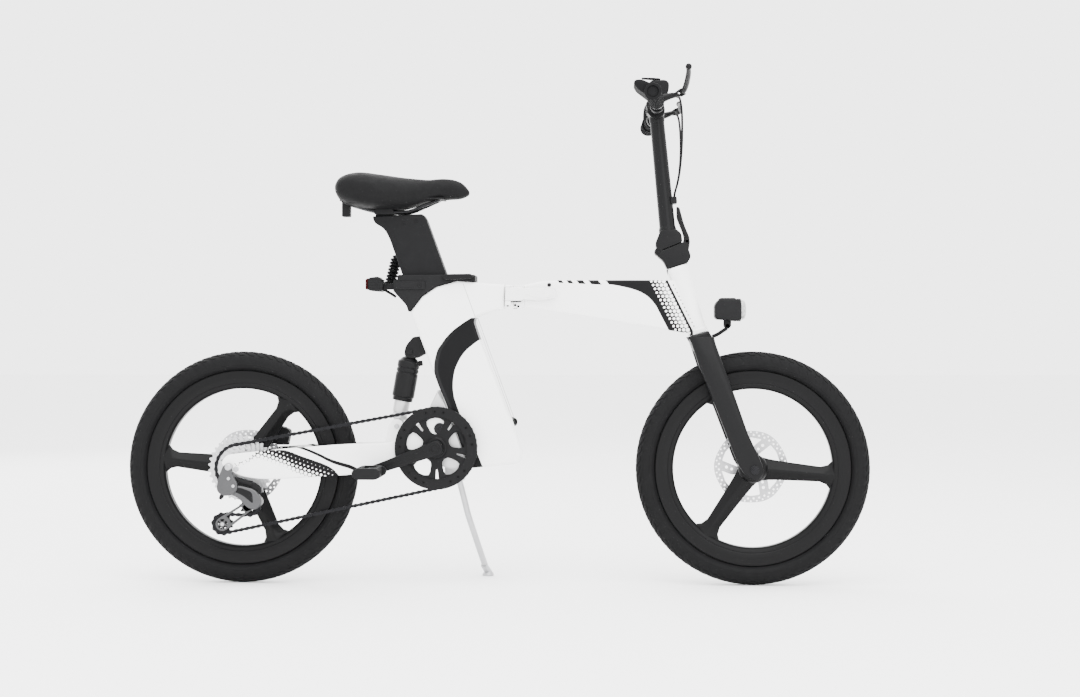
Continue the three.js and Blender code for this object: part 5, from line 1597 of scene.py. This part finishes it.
rear_half = [
    slab(20.4, 38.0, -30, 31, 598, 645), slab(20.4, 30, 29, 41, 598, 612), slab(20.4, 30, 29, 41, 631, 645),
    knuckle_ring(598, 612), knuckle_ring(631, 645), slab(21, 33, -43, -29, 602, 610.7),
    slab(21, 33, -43, -29, 641.1, 645),
]
assemble("hinge_rear_plate", rear_half, white_enamel, "rear_frame", "rear_hinge_half")
front_half = [
    slab(38.6, 62, -30, 31, 598, 645), slab(47, 62, 29, 41, 598, 645), slab(40, 50, 36, 44, 612.3, 630.7),
    knuckle_ring(612.3, 630.7),
]
assemble("hinge_front_plate", front_half, white_enamel, "front_frame", "front_hinge_half")
pins = [
    spun((38.3, 41, 596), (0, 0, 1), [(0, 0.4), (0, 5, 1), (2, 4), (49, 4), (51, 5, 1), (51, 0.4)], 28),
    spun((27, -38.7, 609), (0, 0, 1), [(0, 0.4), (0, 3), (34, 3), (34, 0.4)], 20),
]
assemble("hinge_pins", pins, bright_steel, "rear_frame")
TEARDROP = [
    (21.2, 611.3, 2), (56, 611.3, 2), (60, 614, 6), (94, 611.5, 26), (131, 617, 14), (131, 634, 14),
    (94, 641, 26), (60, 638, 6), (56, 640.6, 2), (21.2, 640.6, 2),
]
# The lever's enamel is a darker copy of the white enamel: painted shade on the latch lever.
latch_enamel_painted_shade = enamel("latch_enamel_painted_shade", (0.8, 0.8, 0.795), 0.3)
lever_shapes = [
    plate(TEARDROP, -43.4, -33.2, 2.0, steps=8),
    plate(
        [(62, 626, 5), (94, 615.5, 20), (122, 620, 10), (126, 626, 5), (122, 632, 10), (94, 636.5, 20)],
        -44.4, -43, 0.6,
    ),
]
assemble("hinge_latch", lever_shapes, latch_enamel_painted_shade, "frame_latch", "frame_latch_lever")
# A thin dark steel strip under the latch lever is painted shadow in the gap, not a part of the hinge.
shadow_gap = plate([(22, 608.6), (53, 608.6), (58, 611), (22, 611)], -35, -31, 0.2)
hinge_screws = [
    spun((px, -30, pz), (0, -1, 0), [(0, 0.3), (0, 2.6), (0.9, 2.6, 0.5), (0.9, 0.3)], 16)
    for px, pz in ((26, 601.5), (42, 602.2), (48.6, 599.5))
]
assemble("hinge_dark_trim", [shadow_gap, hinge_screws[0]], dark_steel, "rear_frame")
assemble("hinge_front_screws", hinge_screws[1:], dark_steel, "front_frame")


# ---- Front frame: beam and head tube ----
# White tapered box beam from the hinge to the head tube, with crisp rounded edges. Its flank
# carries black dashes, a swept black field and a halftone of white dots towards the head tube.
beam_enamel = enamel("white_enamel_beam", WHITE)
x, y, z = beam_enamel.axes()
slant = beam_enamel.sum("SUBTRACT", x, beam_enamel.ramp(z, 653.7, 546.5, 367.7, 421.1))
field_edge = edge_line(beam_enamel, x, [
    (229, 648.5), (241, 646.8), (258, 644.6), (275.6, 641), (295, 636), (312, 629.5), (327, 620),
    (337.7, 609),
    (345, 599), (350.5, 588.5), (369.8, 551.5), (378, 536),
])
field = both(
    beam_enamel, beyond(beam_enamel, z, field_edge), beyond(beam_enamel, 2.6, slant),
    beyond(beam_enamel, x, 232.0),
    beyond(beam_enamel, beam_enamel.sum("ADD", x, beam_enamel.sum("MULTIPLY", z, 0.8)), 760.5),
)
dot_down = beam_enamel.sum("WRAP", beam_enamel.sum("SUBTRACT", z, 5.1), -4.0, 4.0)
dot_across = beam_enamel.sum(
    "SUBTRACT", beam_enamel.sum("WRAP", beam_enamel.sum("ADD", slant, 7.4), -4.43, 4.43),
    beam_enamel.sum("MULTIPLY", dot_down, 0.498),
)
dot_reach = beam_enamel.sum("SQRT", beam_enamel.sum(
    "ADD", beam_enamel.sum("MULTIPLY", dot_across, dot_across),
    beam_enamel.sum("MULTIPLY", dot_down, dot_down)))
dot_size = beam_enamel.ramp(slant, -34.0, -7.4, 2.4, 4.1)
dots = both(
    beam_enamel, beyond(beam_enamel, dot_size, dot_reach), beyond(beam_enamel, slant, -38.4),
    beyond(beam_enamel, -2.97, slant),
)
field = both(beam_enamel, field, beam_enamel.sum("SUBTRACT", 1.0, dots))
row_across = beam_enamel.sum(
    "SUBTRACT", slant, beam_enamel.sum("ADD", beam_enamel.sum("MULTIPLY", dot_down, 0.498), 9.7),
)
row_reach = beam_enamel.sum("SQRT", beam_enamel.sum(
    "ADD", beam_enamel.sum("MULTIPLY", row_across, row_across),
    beam_enamel.sum("MULTIPLY", dot_down, dot_down)))
dotted_row = both(
    beam_enamel, beyond(beam_enamel, 1.4, row_reach), beyond(beam_enamel, 650.0, z),
    beyond(beam_enamel, z, 556.0),
)
lean_x = beam_enamel.sum("ADD", x, beam_enamel.sum("MULTIPLY", beam_enamel.sum("SUBTRACT", z, 657.0), 0.8))
dash_floor = beam_enamel.ramp(x, 130.0, 235.0, 650.2, 645.6)
dashes = either(beam_enamel, *[
    both(beam_enamel, beyond(beam_enamel, lean_x, start), beyond(beam_enamel, end, lean_x))
    for start, end in ((131, 140.5), (150.5, 161), (172, 186), (197.5, 219))
])
dashes = both(beam_enamel, dashes, beyond(beam_enamel, z, dash_floor))
beam_enamel.printed(either(beam_enamel, field, dotted_row, dashes), WHITE, INK)


def beam_section(x0, low, x1, high, half, corner=5.0):
    """Rounded box section between its lower point (x0, low) and its upper point (x1, high)."""
    ring = []
    height = high - low
    for cy, cz, start in ((half - corner, corner, -90), (half - corner, height - corner, 0),
                          (corner - half, height - corner, 90), (corner - half, corner, 180)):
        for step in range(6):
            angle = math.radians(start + 18 * step)
            py, pz = cy + corner * math.cos(angle), cz + corner * math.sin(angle)
            share = pz / height
            ring.append((x0 + (x1 - x0) * share, py, low + pz))
    return ring


beam = bmesh.new()
rings = []
STATIONS = [
    (62.3, 597.6, 62.3, 646, 29.9), (80, 594.9, 80, 650.2, 29.4), (100, 591.8, 100, 654.4, 29),
    (134, 586.6, 134, 655.9, 28.4),
]
for index in range(1, 12):
    t = index / 11
    x0, x1 = 134 + (420 - 134) * t, 134 + (398.5 - 134) * t
    low = 586.6 + (540.8 - 586.6) * min(1.0, (x0 - 134) / 286)
    half = 28.4 - 3.0 * t - max(0.0, t - 0.62) * 26
    STATIONS.append((x0, low, x1, 655.9, half))
for station in STATIONS:
    rings.append([beam.verts.new(spot) for spot in beam_section(*station)])
join_rings(beam, rings)
HEAD_TOP = Vector((391.9, 0, 680.8))
head_up = Vector((-math.sin(math.radians(17.37)), 0, math.cos(math.radians(17.37))))
head_tube = spun(tuple(HEAD_TOP - head_up * 146), tuple(head_up), [
    (0, 15), (0, 22.2, 1), (8, 22.2, 1), (11, 20.6, 3), (40, 20.4, 30), (104, 20.6, 30), (136, 23.6, 6),
    (141, 25, 1), (150.6, 25, 1.5), (150.6, 15),
], 72, hollow=True)
assemble("front_beam", [beam, head_tube], beam_enamel, "front_frame", "front_frame", crease=30)
plugs = [
    spun((115, side * 28.2, 645.6), (0, side, 0), [(0, 0.4), (0, 4.6), (1.2, 4.4, 0.8), (1.2, 0.3)], 24)
    for side in (-1, 1)
]
assemble("beam_port_plugs", plugs, black_plastic, "front_frame")


# ---- Fork, front axle and front brake ----
# Black forged fork: a crown under the head tube and two blades of oval section that thin towards
# the dropouts, with the axle, its nuts and the brake caliper on the left blade.
BLADE_BACK = [
    (552, 400), (520, 419), (472.9, 434), (381.3, 471), (300, 502), (266.3, 515), (240, 531), (229, 545),
]
BLADE_FRONT = [
    (552, 466), (527, 468), (490, 481), (415.4, 508), (327.5, 538.5), (290, 556), (262, 569), (244, 572),
    (229, 566),
]
BLADE_OUT = [(552, 44), (500, 58.5), (440, 61.5), (330, 65.6), (229, 66)]
BLADE_IN = [(552, 30), (506, 31.5), (470, 38.3), (330, 50.6), (229, 50.6)]


def line_at(points, z):
    """Value of a line of (z, value) corners at a height."""
    for (z0, v0), (z1, v1) in zip(points, points[1:]):
        if z1 <= z <= z0:
            return v0 + (v1 - v0) * (z - z0) / (z1 - z0)
    return points[-1][1]


TIP_START = 250
TIP_MIDDLE = 553
blades = []
levels = [534, 520, 506, 492, 470, 440, 400, 360, 330, 305, 290, 276, 266, 256, 248, 241, 235, 231, 229.5]
for side in (-1, 1):
    blade = bmesh.new()
    rings = []
    for level in levels:
        back, front = line_at(BLADE_BACK, level), line_at(BLADE_FRONT, level)
        if level < TIP_START:
            narrow = 0.5 * ((TIP_START - level) / 21) ** 3
            back += (TIP_MIDDLE - back) * narrow
            front += (TIP_MIDDLE - front) * narrow
        inner, outer = line_at(BLADE_IN, level), line_at(BLADE_OUT, level)
        cx, cy = (back + front) / 2, (inner + outer) / 2
        hx, hy = (front - back) / 2, (outer - inner) / 2
        ring = []
        for step in range(28):
            angle = 2 * math.pi * step / 28
            px = math.copysign(abs(math.cos(angle)) ** 0.62, math.cos(angle))
            py = math.copysign(abs(math.sin(angle)) ** 0.62, math.sin(angle))
            ring.append(blade.verts.new((cx + hx * px, side * (cy + hy * py), level)))
        rings.append(ring)
    join_rings(blade, rings)
    blades.append(blade)
crown_low = HEAD_TOP - head_up * 146.8
crown_along = Vector((math.cos(math.radians(17.37)), 0, math.sin(math.radians(17.37))))
left_top, right_top = crown_low - crown_along * 21, crown_low + crown_along * 21
crown = plate([
    (left_top.x, left_top.z, 2), (right_top.x, right_top.z, 2), (466, 529, 8), (479, 494, 10), (426, 500, 10),
    (418, 520, 6),
], -47, 47, 6.0)
race = spun(
    tuple(crown_low - head_up * 4), tuple(head_up), [(0, 15), (0, 21.4, 1), (4.4, 21.4, 1), (4.4, 15)],
    56,
)
steerer = spun(
    tuple(HEAD_TOP - head_up * 148), tuple(head_up), [(0, 1), (0, 14.2), (190, 14.2), (190, 1)], 32,
)
assemble("fork_crown_and_blades", [*blades, crown, race, steerer], black_enamel, "fork", "fork", crease=30)
axle_parts = [spun((552, -66.4, 251.5), (0, 1, 0), [(0, 1), (0, 5), (132.8, 5), (132.8, 1)], 24)]
for side in (-1, 1):
    axle_parts.append(
        spun((552, side * 66.5, 251.5), (0, side, 0), [(0, 5), (0, 10, 0.6), (1.6, 10, 0.4), (1.6, 5)], 36),
    )
    axle_parts.append(
        spun(
            (552, side * 68, 251.5), (0, side, 0),
            [(0, 4), (0, 8.6, 0.8), (4.6, 8.6, 1), (4.6, 4.6), (6, 4.4, 0.6), (6, 0.4)], 6,
        ),
    )
assemble("front_axle_nuts", axle_parts, dark_steel, "fork", "front_axle")
FRONT_CALIPER = [(506, 303, 5), (528, 311, 5), (537, 326, 6), (526, 341, 8), (496, 339, 8)]
caliper_parts = [
    plate(FRONT_CALIPER, 35.8, 42.2, 1.4), plate(FRONT_CALIPER, 47.8, 49.0, 0.5),
    plate([(503, 335), (520, 335), (526, 341, 6), (496, 339, 6)], 42, 48, 0.3),
    spun((515, 48, 316), (0, 1, 0), [(0, 0.4), (0, 5), (2.2, 5), (2.2, 0.4)], 20),
    spun((515, 36.2, 322), (0, -1, 0), [(0, 1), (0, 7, 1), (1.2, 7, 1), (1.2, 0.4)], 24),
]
assemble("front_brake_caliper", caliper_parts, caliper_black, "fork", "front_caliper")


# ---- Headlight ----
# Black finned lamp on a cranked bracket ahead of the head tube, with a pale domed lens.
shapes = [bent_bar([(466, 0, 534.5), (478, 0, 540), (487, 0, 546), (497, 0, 552.5)], 4, 16),
          spun((498, -5, 558), (0, 1, 0), [(0, 3.5), (0, 7, 0.6), (10, 7, 0.6), (10, 3.5)], 32, hollow=True)]
assemble("headlight_stay", shapes, black_plastic, "fork", "headlight_bracket")
lamp = [
    plate(
        [
            (470, 572, 9), (470, 604, 9), (480, 615.4, 6), (522, 615.4, 4), (527, 606, 5), (527, 572, 7),
            (518, 567.5, 4),
        ],
        -29, 29, 4.0,
    ),
    spun((519, 0, 592), (1, 0, 0), [(0, 22), (0, 24.5, 1), (7.8, 24.5, 1), (7.8, 22)], 56, hollow=True),
    spun((498, -9, 558), (0, 1, 0), [(0, 0.4), (0, 4), (18, 4), (18, 0.4)], 20),
]
for side in (-1, 1):
    lamp.append(
        plate(
            [(490, 570, 2), (490, 554, 6), (506, 554, 6), (506, 570, 2)], *sorted((side * 5.4, side * 9)),
            0.8,
        ),
    )
for index in range(8):
    y0 = -22.6 + 6 * index
    lamp.append(
        plate([(476, 606), (481, 617.6, 3), (514, 617.6, 3), (518, 612), (500, 606)], y0, y0 + 2.6, 0.5),
    )
assemble("headlight_shell", lamp, black_plastic, "headlight", "headlight_body")
pale_lens = Finish("pale_lens", (0.78, 0.78, 0.75), 0.1, coat=0.6)
flutes = pale_lens.node(
    "ShaderNodeTexVoronoi", {"Vector": pale_lens.place(), "Scale": 0.16},
).outputs["Distance"]
pale_lens.bump(flutes, 0.5)
# The colour is lighter at each flute's middle and darker towards its edges: painted light and shade on the
# flutes, on top of their bump.
pale_lens.colour_from(
    pale_lens.blend(pale_lens.ramp(flutes, 0.0, 0.6), (0.44, 0.44, 0.43), (0.26, 0.26, 0.26)),
)
dome_line = [(0, 1), (0, 21.5, 1), (5.5, 21.5, 3), (9.5, 18, 4), (11.6, 9, 5), (12, 0.4)]
assemble(
    "headlight_glass", [spun((526.8, 0, 592), (1, 0, 0), dome_line, 56)], pale_lens, "headlight",
    "headlight_lens",
)


# ---- Folding stem and handlepost ----
# Black forged stem base clamped on the steerer, a hinged foot above it that folds back, a tall
# tapered post, and a lever on the front that locks the joint.
slope = math.tan(math.radians(22))


def stem_line(x, lift):
    return 717 + (x - 350) * slope + lift


low_point = HEAD_TOP + head_up * 5.7
back_point, front_point = low_point - crown_along * 23, low_point + crown_along * 23
base = [
    plate([
        (back_point.x, back_point.z, 2), (
            front_point.x, front_point.z, 2,
        ), (420, 706, 10), (408, stem_line(408, -0.3), 4),
        (360, stem_line(360, -0.3)), (345, 709, 6), (360, 697, 8),
    ], -20.8, 20.8, 3.0),
    spun((350, -10, 717), (0, 1, 0), [(0, 4), (0, 9, 0.6), (20, 9, 0.6), (20, 4)], 36),
    spun((350, -19, 717), (0, 1, 0), [(0, 0.4), (0, 4), (38, 4), (38, 0.4)], 24),
    spun((411, -15, 740), (0, 1, 0), [(0, 0.4), (0, 3), (30, 3), (30, 0.4)], 20),
]
for side in (-1, 1):
    base.append(
        plate(
            [(400, 716, 3), (414, 716, 3), (418, 742, 6), (405, 747, 4), (402, 735, 3)],
            *sorted((side * 9.2, side * 15)), 1.0,
        ),
    )
    base.append(
        spun(
            (404, side * 20.4, 712), (0, side, 0), [(0, 0.4), (0, 4.2, 0.6), (0.6, 4.2, 0.4), (0.6, 0.4)],
            24,
        ),
    )
    base.append(
        spun(
            (374, side * 20.4, 704), (0, side, 0), [(0, 0.4), (0, 3.4, 0.6), (0.6, 3.4, 0.4), (0.6, 0.4)],
            24,
        ),
    )
assemble("stem_foot", base, black_enamel, "fork", "stem_base")
foot_top = Vector((371.6, 0, 745))
bar_at = Vector((344.8, 0, 1021))
post_way = (bar_at - foot_top).normalized()
post_length = (bar_at - foot_top).length
post_shapes = [
    plate([
        (359, stem_line(359, 0.3), 2), (401, stem_line(401, 0.3), 4), (399, 756, 6), (388, 766, 6),
        (354, 764, 8), (343, 736, 8), (345, 724, 4),
    ], -20, 20, 3.0),
    spun(tuple(foot_top), tuple(post_way), [
        (0, 1), (0, 19, 1), (22, 19, 3), (27, 17.2, 2), (post_length - 24, 15.4, 2),
        (post_length - 22, 16.6, 1), (post_length - 12, 16.6), (post_length - 12, 1),
    ], 56),
    spun(
        (344.8, -24, 1021), (0, 1, 0), [(0, 11.3), (0, 18.6, 1.5), (48, 18.6, 1.5), (48, 11.3)], 48,
        hollow=True,
    ),
    plate([(376, 820, 2), (390, 821, 3), (389, 836, 3), (375, 836, 2)], -14, 14, 1.5),
    plate([(325, 1014, 3), (331, 1012, 2), (331, 1030, 2), (325, 1029, 3)], -22, 22, 1.0),
]
for side in (-1, 1):
    post_shapes.append(
        spun(
            (350, side * 10.4, 717), (0, side, 0), [(0, 4.4), (0, 9, 0.8), (9.6, 9, 0.8), (9.6, 4.4)], 36,
            hollow=True,
        ),
    )
    post_shapes.append(
        spun(
            (324, side * 14, 1021), (-1, 0, 0),
            [(0, 0.4), (0, 3.4, 0.6), (1.8, 3.4, 0.6), (1.8, 1.6), (1, 1.5), (1, 0.3)], 20,
        ),
    )
assemble("handlepost_tube", post_shapes, black_enamel, "handlepost", "handlepost")
STEM_LEVER = [
    (405, 734, 5), (417, 735, 5), (417, 748, 8), (405, 776, 10), (395, 813, 4), (388.4, 815, 3),
    (388.8, 790, 6), (402, 757, 6), (404.5, 746, 4),
]
assemble("stem_lever", [plate(STEM_LEVER, -8.5, 8.5, 1.8)], black_enamel, "stem_latch", "stem_latch_lever")


# ---- Handlebar, grips and controls ----
# Black bar swept back at its ends, ribbed rubber grips with a palm wing, brake levers on clamps,
# a thumb shifter on the right and a small display on the left.
def bar_point(y):
    return Vector((344.8 - 12.8 / 177 * max(0.0, abs(y) - 120), y, 1021))


bar_stations = (-290, -230, -170, -130, -110, -40, 40, 110, 130, 170, 230, 290)
assemble(
    "handlebar_tube", [bent_bar([bar_point(y) for y in bar_stations], 11, 32, 5)], black_enamel,
    "handlepost", "handlebar",
)


def along_bar(start, end, profile, sides=40, hollow=True):
    first, last = bar_point(start), bar_point(end)
    return spun(tuple(first), tuple((last - first).normalized()), profile, sides, hollow=hollow)


for label, side, lean in (("right", -1, 150), ("left", 1, 97)):
    profile = [(0, 11.95), (0, 17.4, 1), (4, 17.4, 1)]
    reach = 5.0
    while reach < 128:
        profile += [
            (reach, 15.6, 0.4), (reach + 3.6, 15.6, 0.4), (reach + 4.4, 16.6, 0.5),
            (reach + 6.6, 16.6, 0.5),
        ]
        reach += 7.6
    profile += [(131, 17.6, 1.5), (134.6, 17.0, 1.5), (134.6, 11.95)]
    tip_low, tip_high = sorted((side * 214, side * 288))
    middle = bar_point(252).x
    out, over = math.cos(math.radians(lean)), math.sin(math.radians(lean))
    wing_corners = [(-2, -15, 5), (36, -10, 9), (46, -3, 7), (46, 4, 7), (36, 10, 9), (-2, 15, 5)]
    wing = plate(
        [(middle + a * out - b * over, 1021 + a * over + b * out, fillet) for a, b, fillet in wing_corners],
        tip_low, tip_high, 6.0, [circle(middle, 1021, 12.4, 24)],
    )
    cap = spun(
        tuple(bar_point(side * 291.5)), (0, side, 0),
        [(0, 1), (0, 16.4, 1), (4, 15.4, 2), (5.2, 8, 1), (5.2, 0.4)], 36,
    )
    assemble(
        "grip_rubber_" + label, [along_bar(side * 165, side * 297, profile), wing, cap], soft_rubber,
        "handlepost", "grip_" + label,
    )

    pivot = Vector((395, side * 150, 1040))
    axis = Vector((-0.45, 0, 0.893)).normalized()
    clamp_ring = along_bar(side * 141, side * 158, [(0, 11.95), (0, 15.4, 1), (17, 15.4, 1), (17, 11.95)])
    body = bent_bar([(350, side * 150, 1025.5), (362, side * 149, 1030), (376, side * 147, 1034),
        (386, side * 134, 1036.5)],
                    lambda share: 9.0 - 4.5 * share, 20)
    arms_of_mount = [
        spun(
            tuple(pivot + axis * (5.0 if end > 0 else -7.5)), tuple(axis),
            [(0, 1.8), (0, 6.2, 0.6), (2.5, 6.2, 0.6), (2.5, 1.8)], 28,
        ) for end in (-1, 1)
    ]
    arms_of_mount += [
        bent_bar([(376, side * 149, 1033.6), tuple(pivot + axis * end * 6.2)], 2.6, 12)
        for end in (-1, 1)
    ]
    pin_shape = spun(
        tuple(pivot - axis * 7.8), tuple(axis), [(0, 0.3), (0, 1.6), (15.6, 1.6), (15.6, 0.3)], 16,
    )
    adjuster = spun(
        (386, side * 133, 1036.4), (0.14, -side * 0.97, -0.12),
        [(0, 1), (0, 4.6), (6, 4.6, 0.6), (6, 3.4), (12, 3.4, 0.6), (12, 1)], 20,
    )
    assemble(
        "brake_clamp_" + label, [clamp_ring, body, *arms_of_mount, pin_shape, adjuster], black_enamel,
        "handlepost", "brake_mount_" + label,
    )
    blade_line = [
        tuple(pivot), (398.6, side * 165, 1041.8), (402, side * 184, 1049), (404, side * 208, 1057),
        (405, side * 240, 1066), (404, side * 266, 1072.4),
    ]
    blade = bent_bar(blade_line, lambda share: 4.6 + 1.2 * math.sin(math.pi * share ** 0.8), 20)
    tip = bmesh.new()
    bmesh.ops.create_uvsphere(
        tip, u_segments=20, v_segments=14, radius=6.6,
        matrix=Matrix.Translation((404, side * 271, 1073.8)),
    )
    hub = spun(tuple(pivot - axis * 4.3), tuple(axis), [(0, 2), (0, 4.9, 0.6), (8.6, 4.9, 0.6), (8.6, 2)], 28)
    assemble(
        "brake_blade_" + label, [blade, tip, hub], black_enamel, "brake_lever_" + label,
        "brake_lever_" + label,
    )
    hose_line = [
        (386, side * 126, 1036), (392, side * 112, 1032), (397, side * 84, 1012), (399, side * 58, 978),
        (399, side * 36, 938),
        (396, side * 18, 896), (391, side * 9, 866), (386, side * 7, 848), (384, side * 7, 836.6),
    ]
    hose, hose_length, hose_path = cord_curve("brake_hose_" + label, hose_line, 2.4, lead_rubber)
    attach(hose, "handlepost")
    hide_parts("brake_cable_" + label)

shifter_ring = along_bar(-98, -82, [(0, 11.95), (0, 15, 1), (16, 15, 1), (16, 11.95)])
pod = plate([
    (332, 1034, 5), (360, 1034, 7), (370, 1052, 10), (370, 1068, 7), (362, 1074, 6), (328, 1071, 7),
    (326, 1048, 9),
], -104, -76, 3.0)
window = plate([(333, 1071.2), (357, 1073.2), (357, 1074.2), (333, 1072.4)], -99, -93, 0.3)
assemble("shifter_case", [shifter_ring, pod, window], black_plastic, "handlepost", "shifter")
paddle = plate(
    [(340, -82, 6), (352, -82, 6), (352, -96, 6), (336, -104, 6), (312, -108, 5), (312, -98, 5)], 1074.7,
    1078, 1.2, view=PLAN,
)
assemble("shift_paddle", [paddle], black_plastic, "shift_lever", "shift_lever")
display_ring = along_bar(66, 84, [(0, 11.95), (0, 15, 1), (18, 15, 1), (18, 11.95)])
case = plate([(326, 1035, 5), (362, 1035, 6), (364, 1046, 5), (330, 1054, 5), (323, 1046, 5)], 50, 100, 2.5)
buttons = [
    spun(
        (331 + 5 * index, 56, 1052.4 - 1.25 * index), (0.22, 0, 0.97),
        [(0, 0.4), (0, 2.2), (1.6, 2.2, 0.6), (1.6, 0.3)], 16,
    )
    for index in range(3)
]
assemble("display_case", [display_ring, case, *buttons], black_plastic, "handlepost", "display")
screen_glass = Finish("screen_glass", (0.02, 0.025, 0.03), 0.08, coat=0.8)
screen_glass.rough_from(screen_glass.noise(12.0), 0.06, 0.14)
screen = plate([(336, 1051.6, 1), (358, 1046.8, 1), (358, 1047.6, 1), (336, 1052.4, 1)], 62, 94, 0.2)
assemble("display_screen", [screen], screen_glass, "handlepost")
